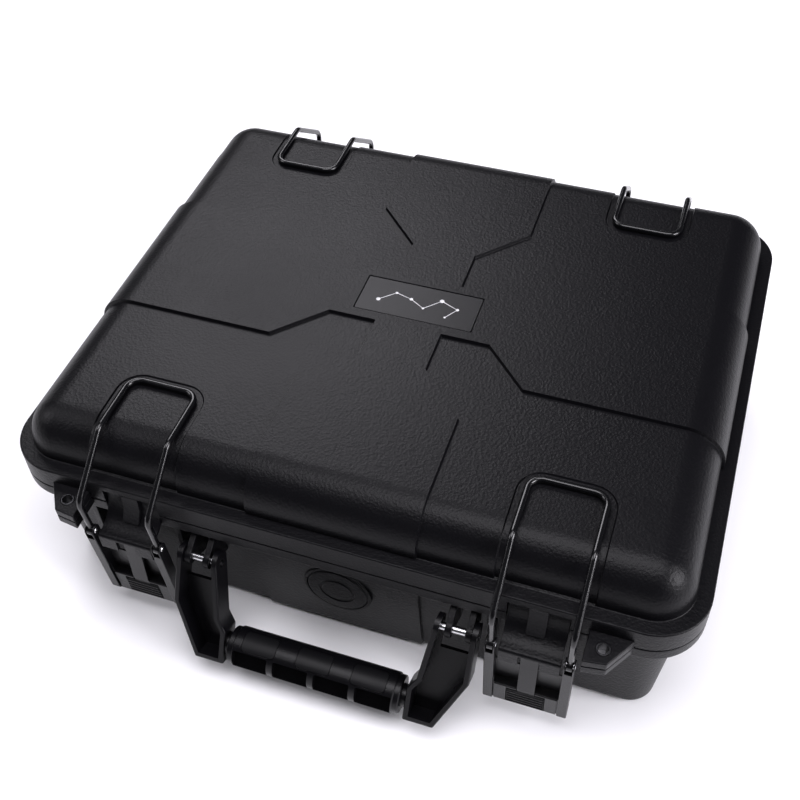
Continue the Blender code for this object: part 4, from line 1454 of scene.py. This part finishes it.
class CARRYCASE_OT_lid(bpy.types.Operator):
    """Domed lid with the raised band and loop seats"""
    bl_idname = "carrycase.lid"
    bl_label = "Lid"

    def execute(self, context):
        build_lid()
        return {"FINISHED"}


class CARRYCASE_OT_wire_loops(bpy.types.Operator):
    """Latch bails and hinge loops"""
    bl_idname = "carrycase.wire_loops"
    bl_label = "Wire Loops"

    def execute(self, context):
        build_wire_loops()
        return {"FINISHED"}


class CARRYCASE_OT_latches(bpy.types.Operator):
    """Levers, ribbed slides and spring strips"""
    bl_idname = "carrycase.latches"
    bl_label = "Latches"

    def execute(self, context):
        build_latches()
        return {"FINISHED"}


class CARRYCASE_OT_handle(bpy.types.Operator):
    """Channel arms, grip barrel and soft tiles"""
    bl_idname = "carrycase.handle"
    bl_label = "Handle"

    def execute(self, context):
        build_handle()
        return {"FINISHED"}


class CARRYCASE_OT_fittings(bpy.types.Operator):
    """Pins, bushes, valve and seal"""
    bl_idname = "carrycase.fittings"
    bl_label = "Fittings"

    def execute(self, context):
        build_fittings()
        return {"FINISHED"}


class CARRYCASE_OT_foam(bpy.types.Operator):
    """Fitted tub foam and crested lid foam"""
    bl_idname = "carrycase.foam"
    bl_label = "Foam"

    def execute(self, context):
        build_foam()
        return {"FINISHED"}


class CARRYCASE_OT_plate(bpy.types.Operator):
    """Plain plate with a printed star group"""
    bl_idname = "carrycase.plate"
    bl_label = "Name Plate"

    def execute(self, context):
        build_plate()
        return {"FINISHED"}


OPERATORS = (
    CARRYCASE_OT_stage, CARRYCASE_OT_tub, CARRYCASE_OT_lid,
    CARRYCASE_OT_wire_loops, CARRYCASE_OT_latches, CARRYCASE_OT_handle,
    CARRYCASE_OT_fittings, CARRYCASE_OT_foam, CARRYCASE_OT_plate,
)


class CARRYCASE_PT_panel(bpy.types.Panel):
    """Lists the case's pieces, sizes and colours."""
    bl_label = "Carry Case"
    bl_idname = "CARRYCASE_PT_panel"
    bl_space_type = "VIEW_3D"
    bl_region_type = "UI"
    bl_category = "Carry Case"

    def draw(self, context):
        for operator in OPERATORS:
            self.layout.operator(operator.bl_idname)
        for group in ("case_sizes", "case_colours", "case_stage"):
            settings = getattr(context.scene, group)
            for name in settings.__annotations__:
                self.layout.prop(settings, name)


CLASSES = (CaseSizes, CaseColours, StageSettings, *OPERATORS, CARRYCASE_PT_panel)
GROUPS = (("case_sizes", CaseSizes), ("case_colours", CaseColours), ("case_stage", StageSettings))


def register():
    for item in CLASSES:
        bpy.utils.register_class(item)
    for name, group in GROUPS:
        setattr(bpy.types.Scene, name, bpy.props.PointerProperty(type=group))


def unregister():
    for name, _ in GROUPS:
        delattr(bpy.types.Scene, name)
    for item in reversed(CLASSES):
        bpy.utils.unregister_class(item)


def main():
    register()
    for operator in OPERATORS:
        getattr(bpy.ops.carrycase, operator.bl_idname.partition(".")[2])()


if __name__ == "__main__":
    main()
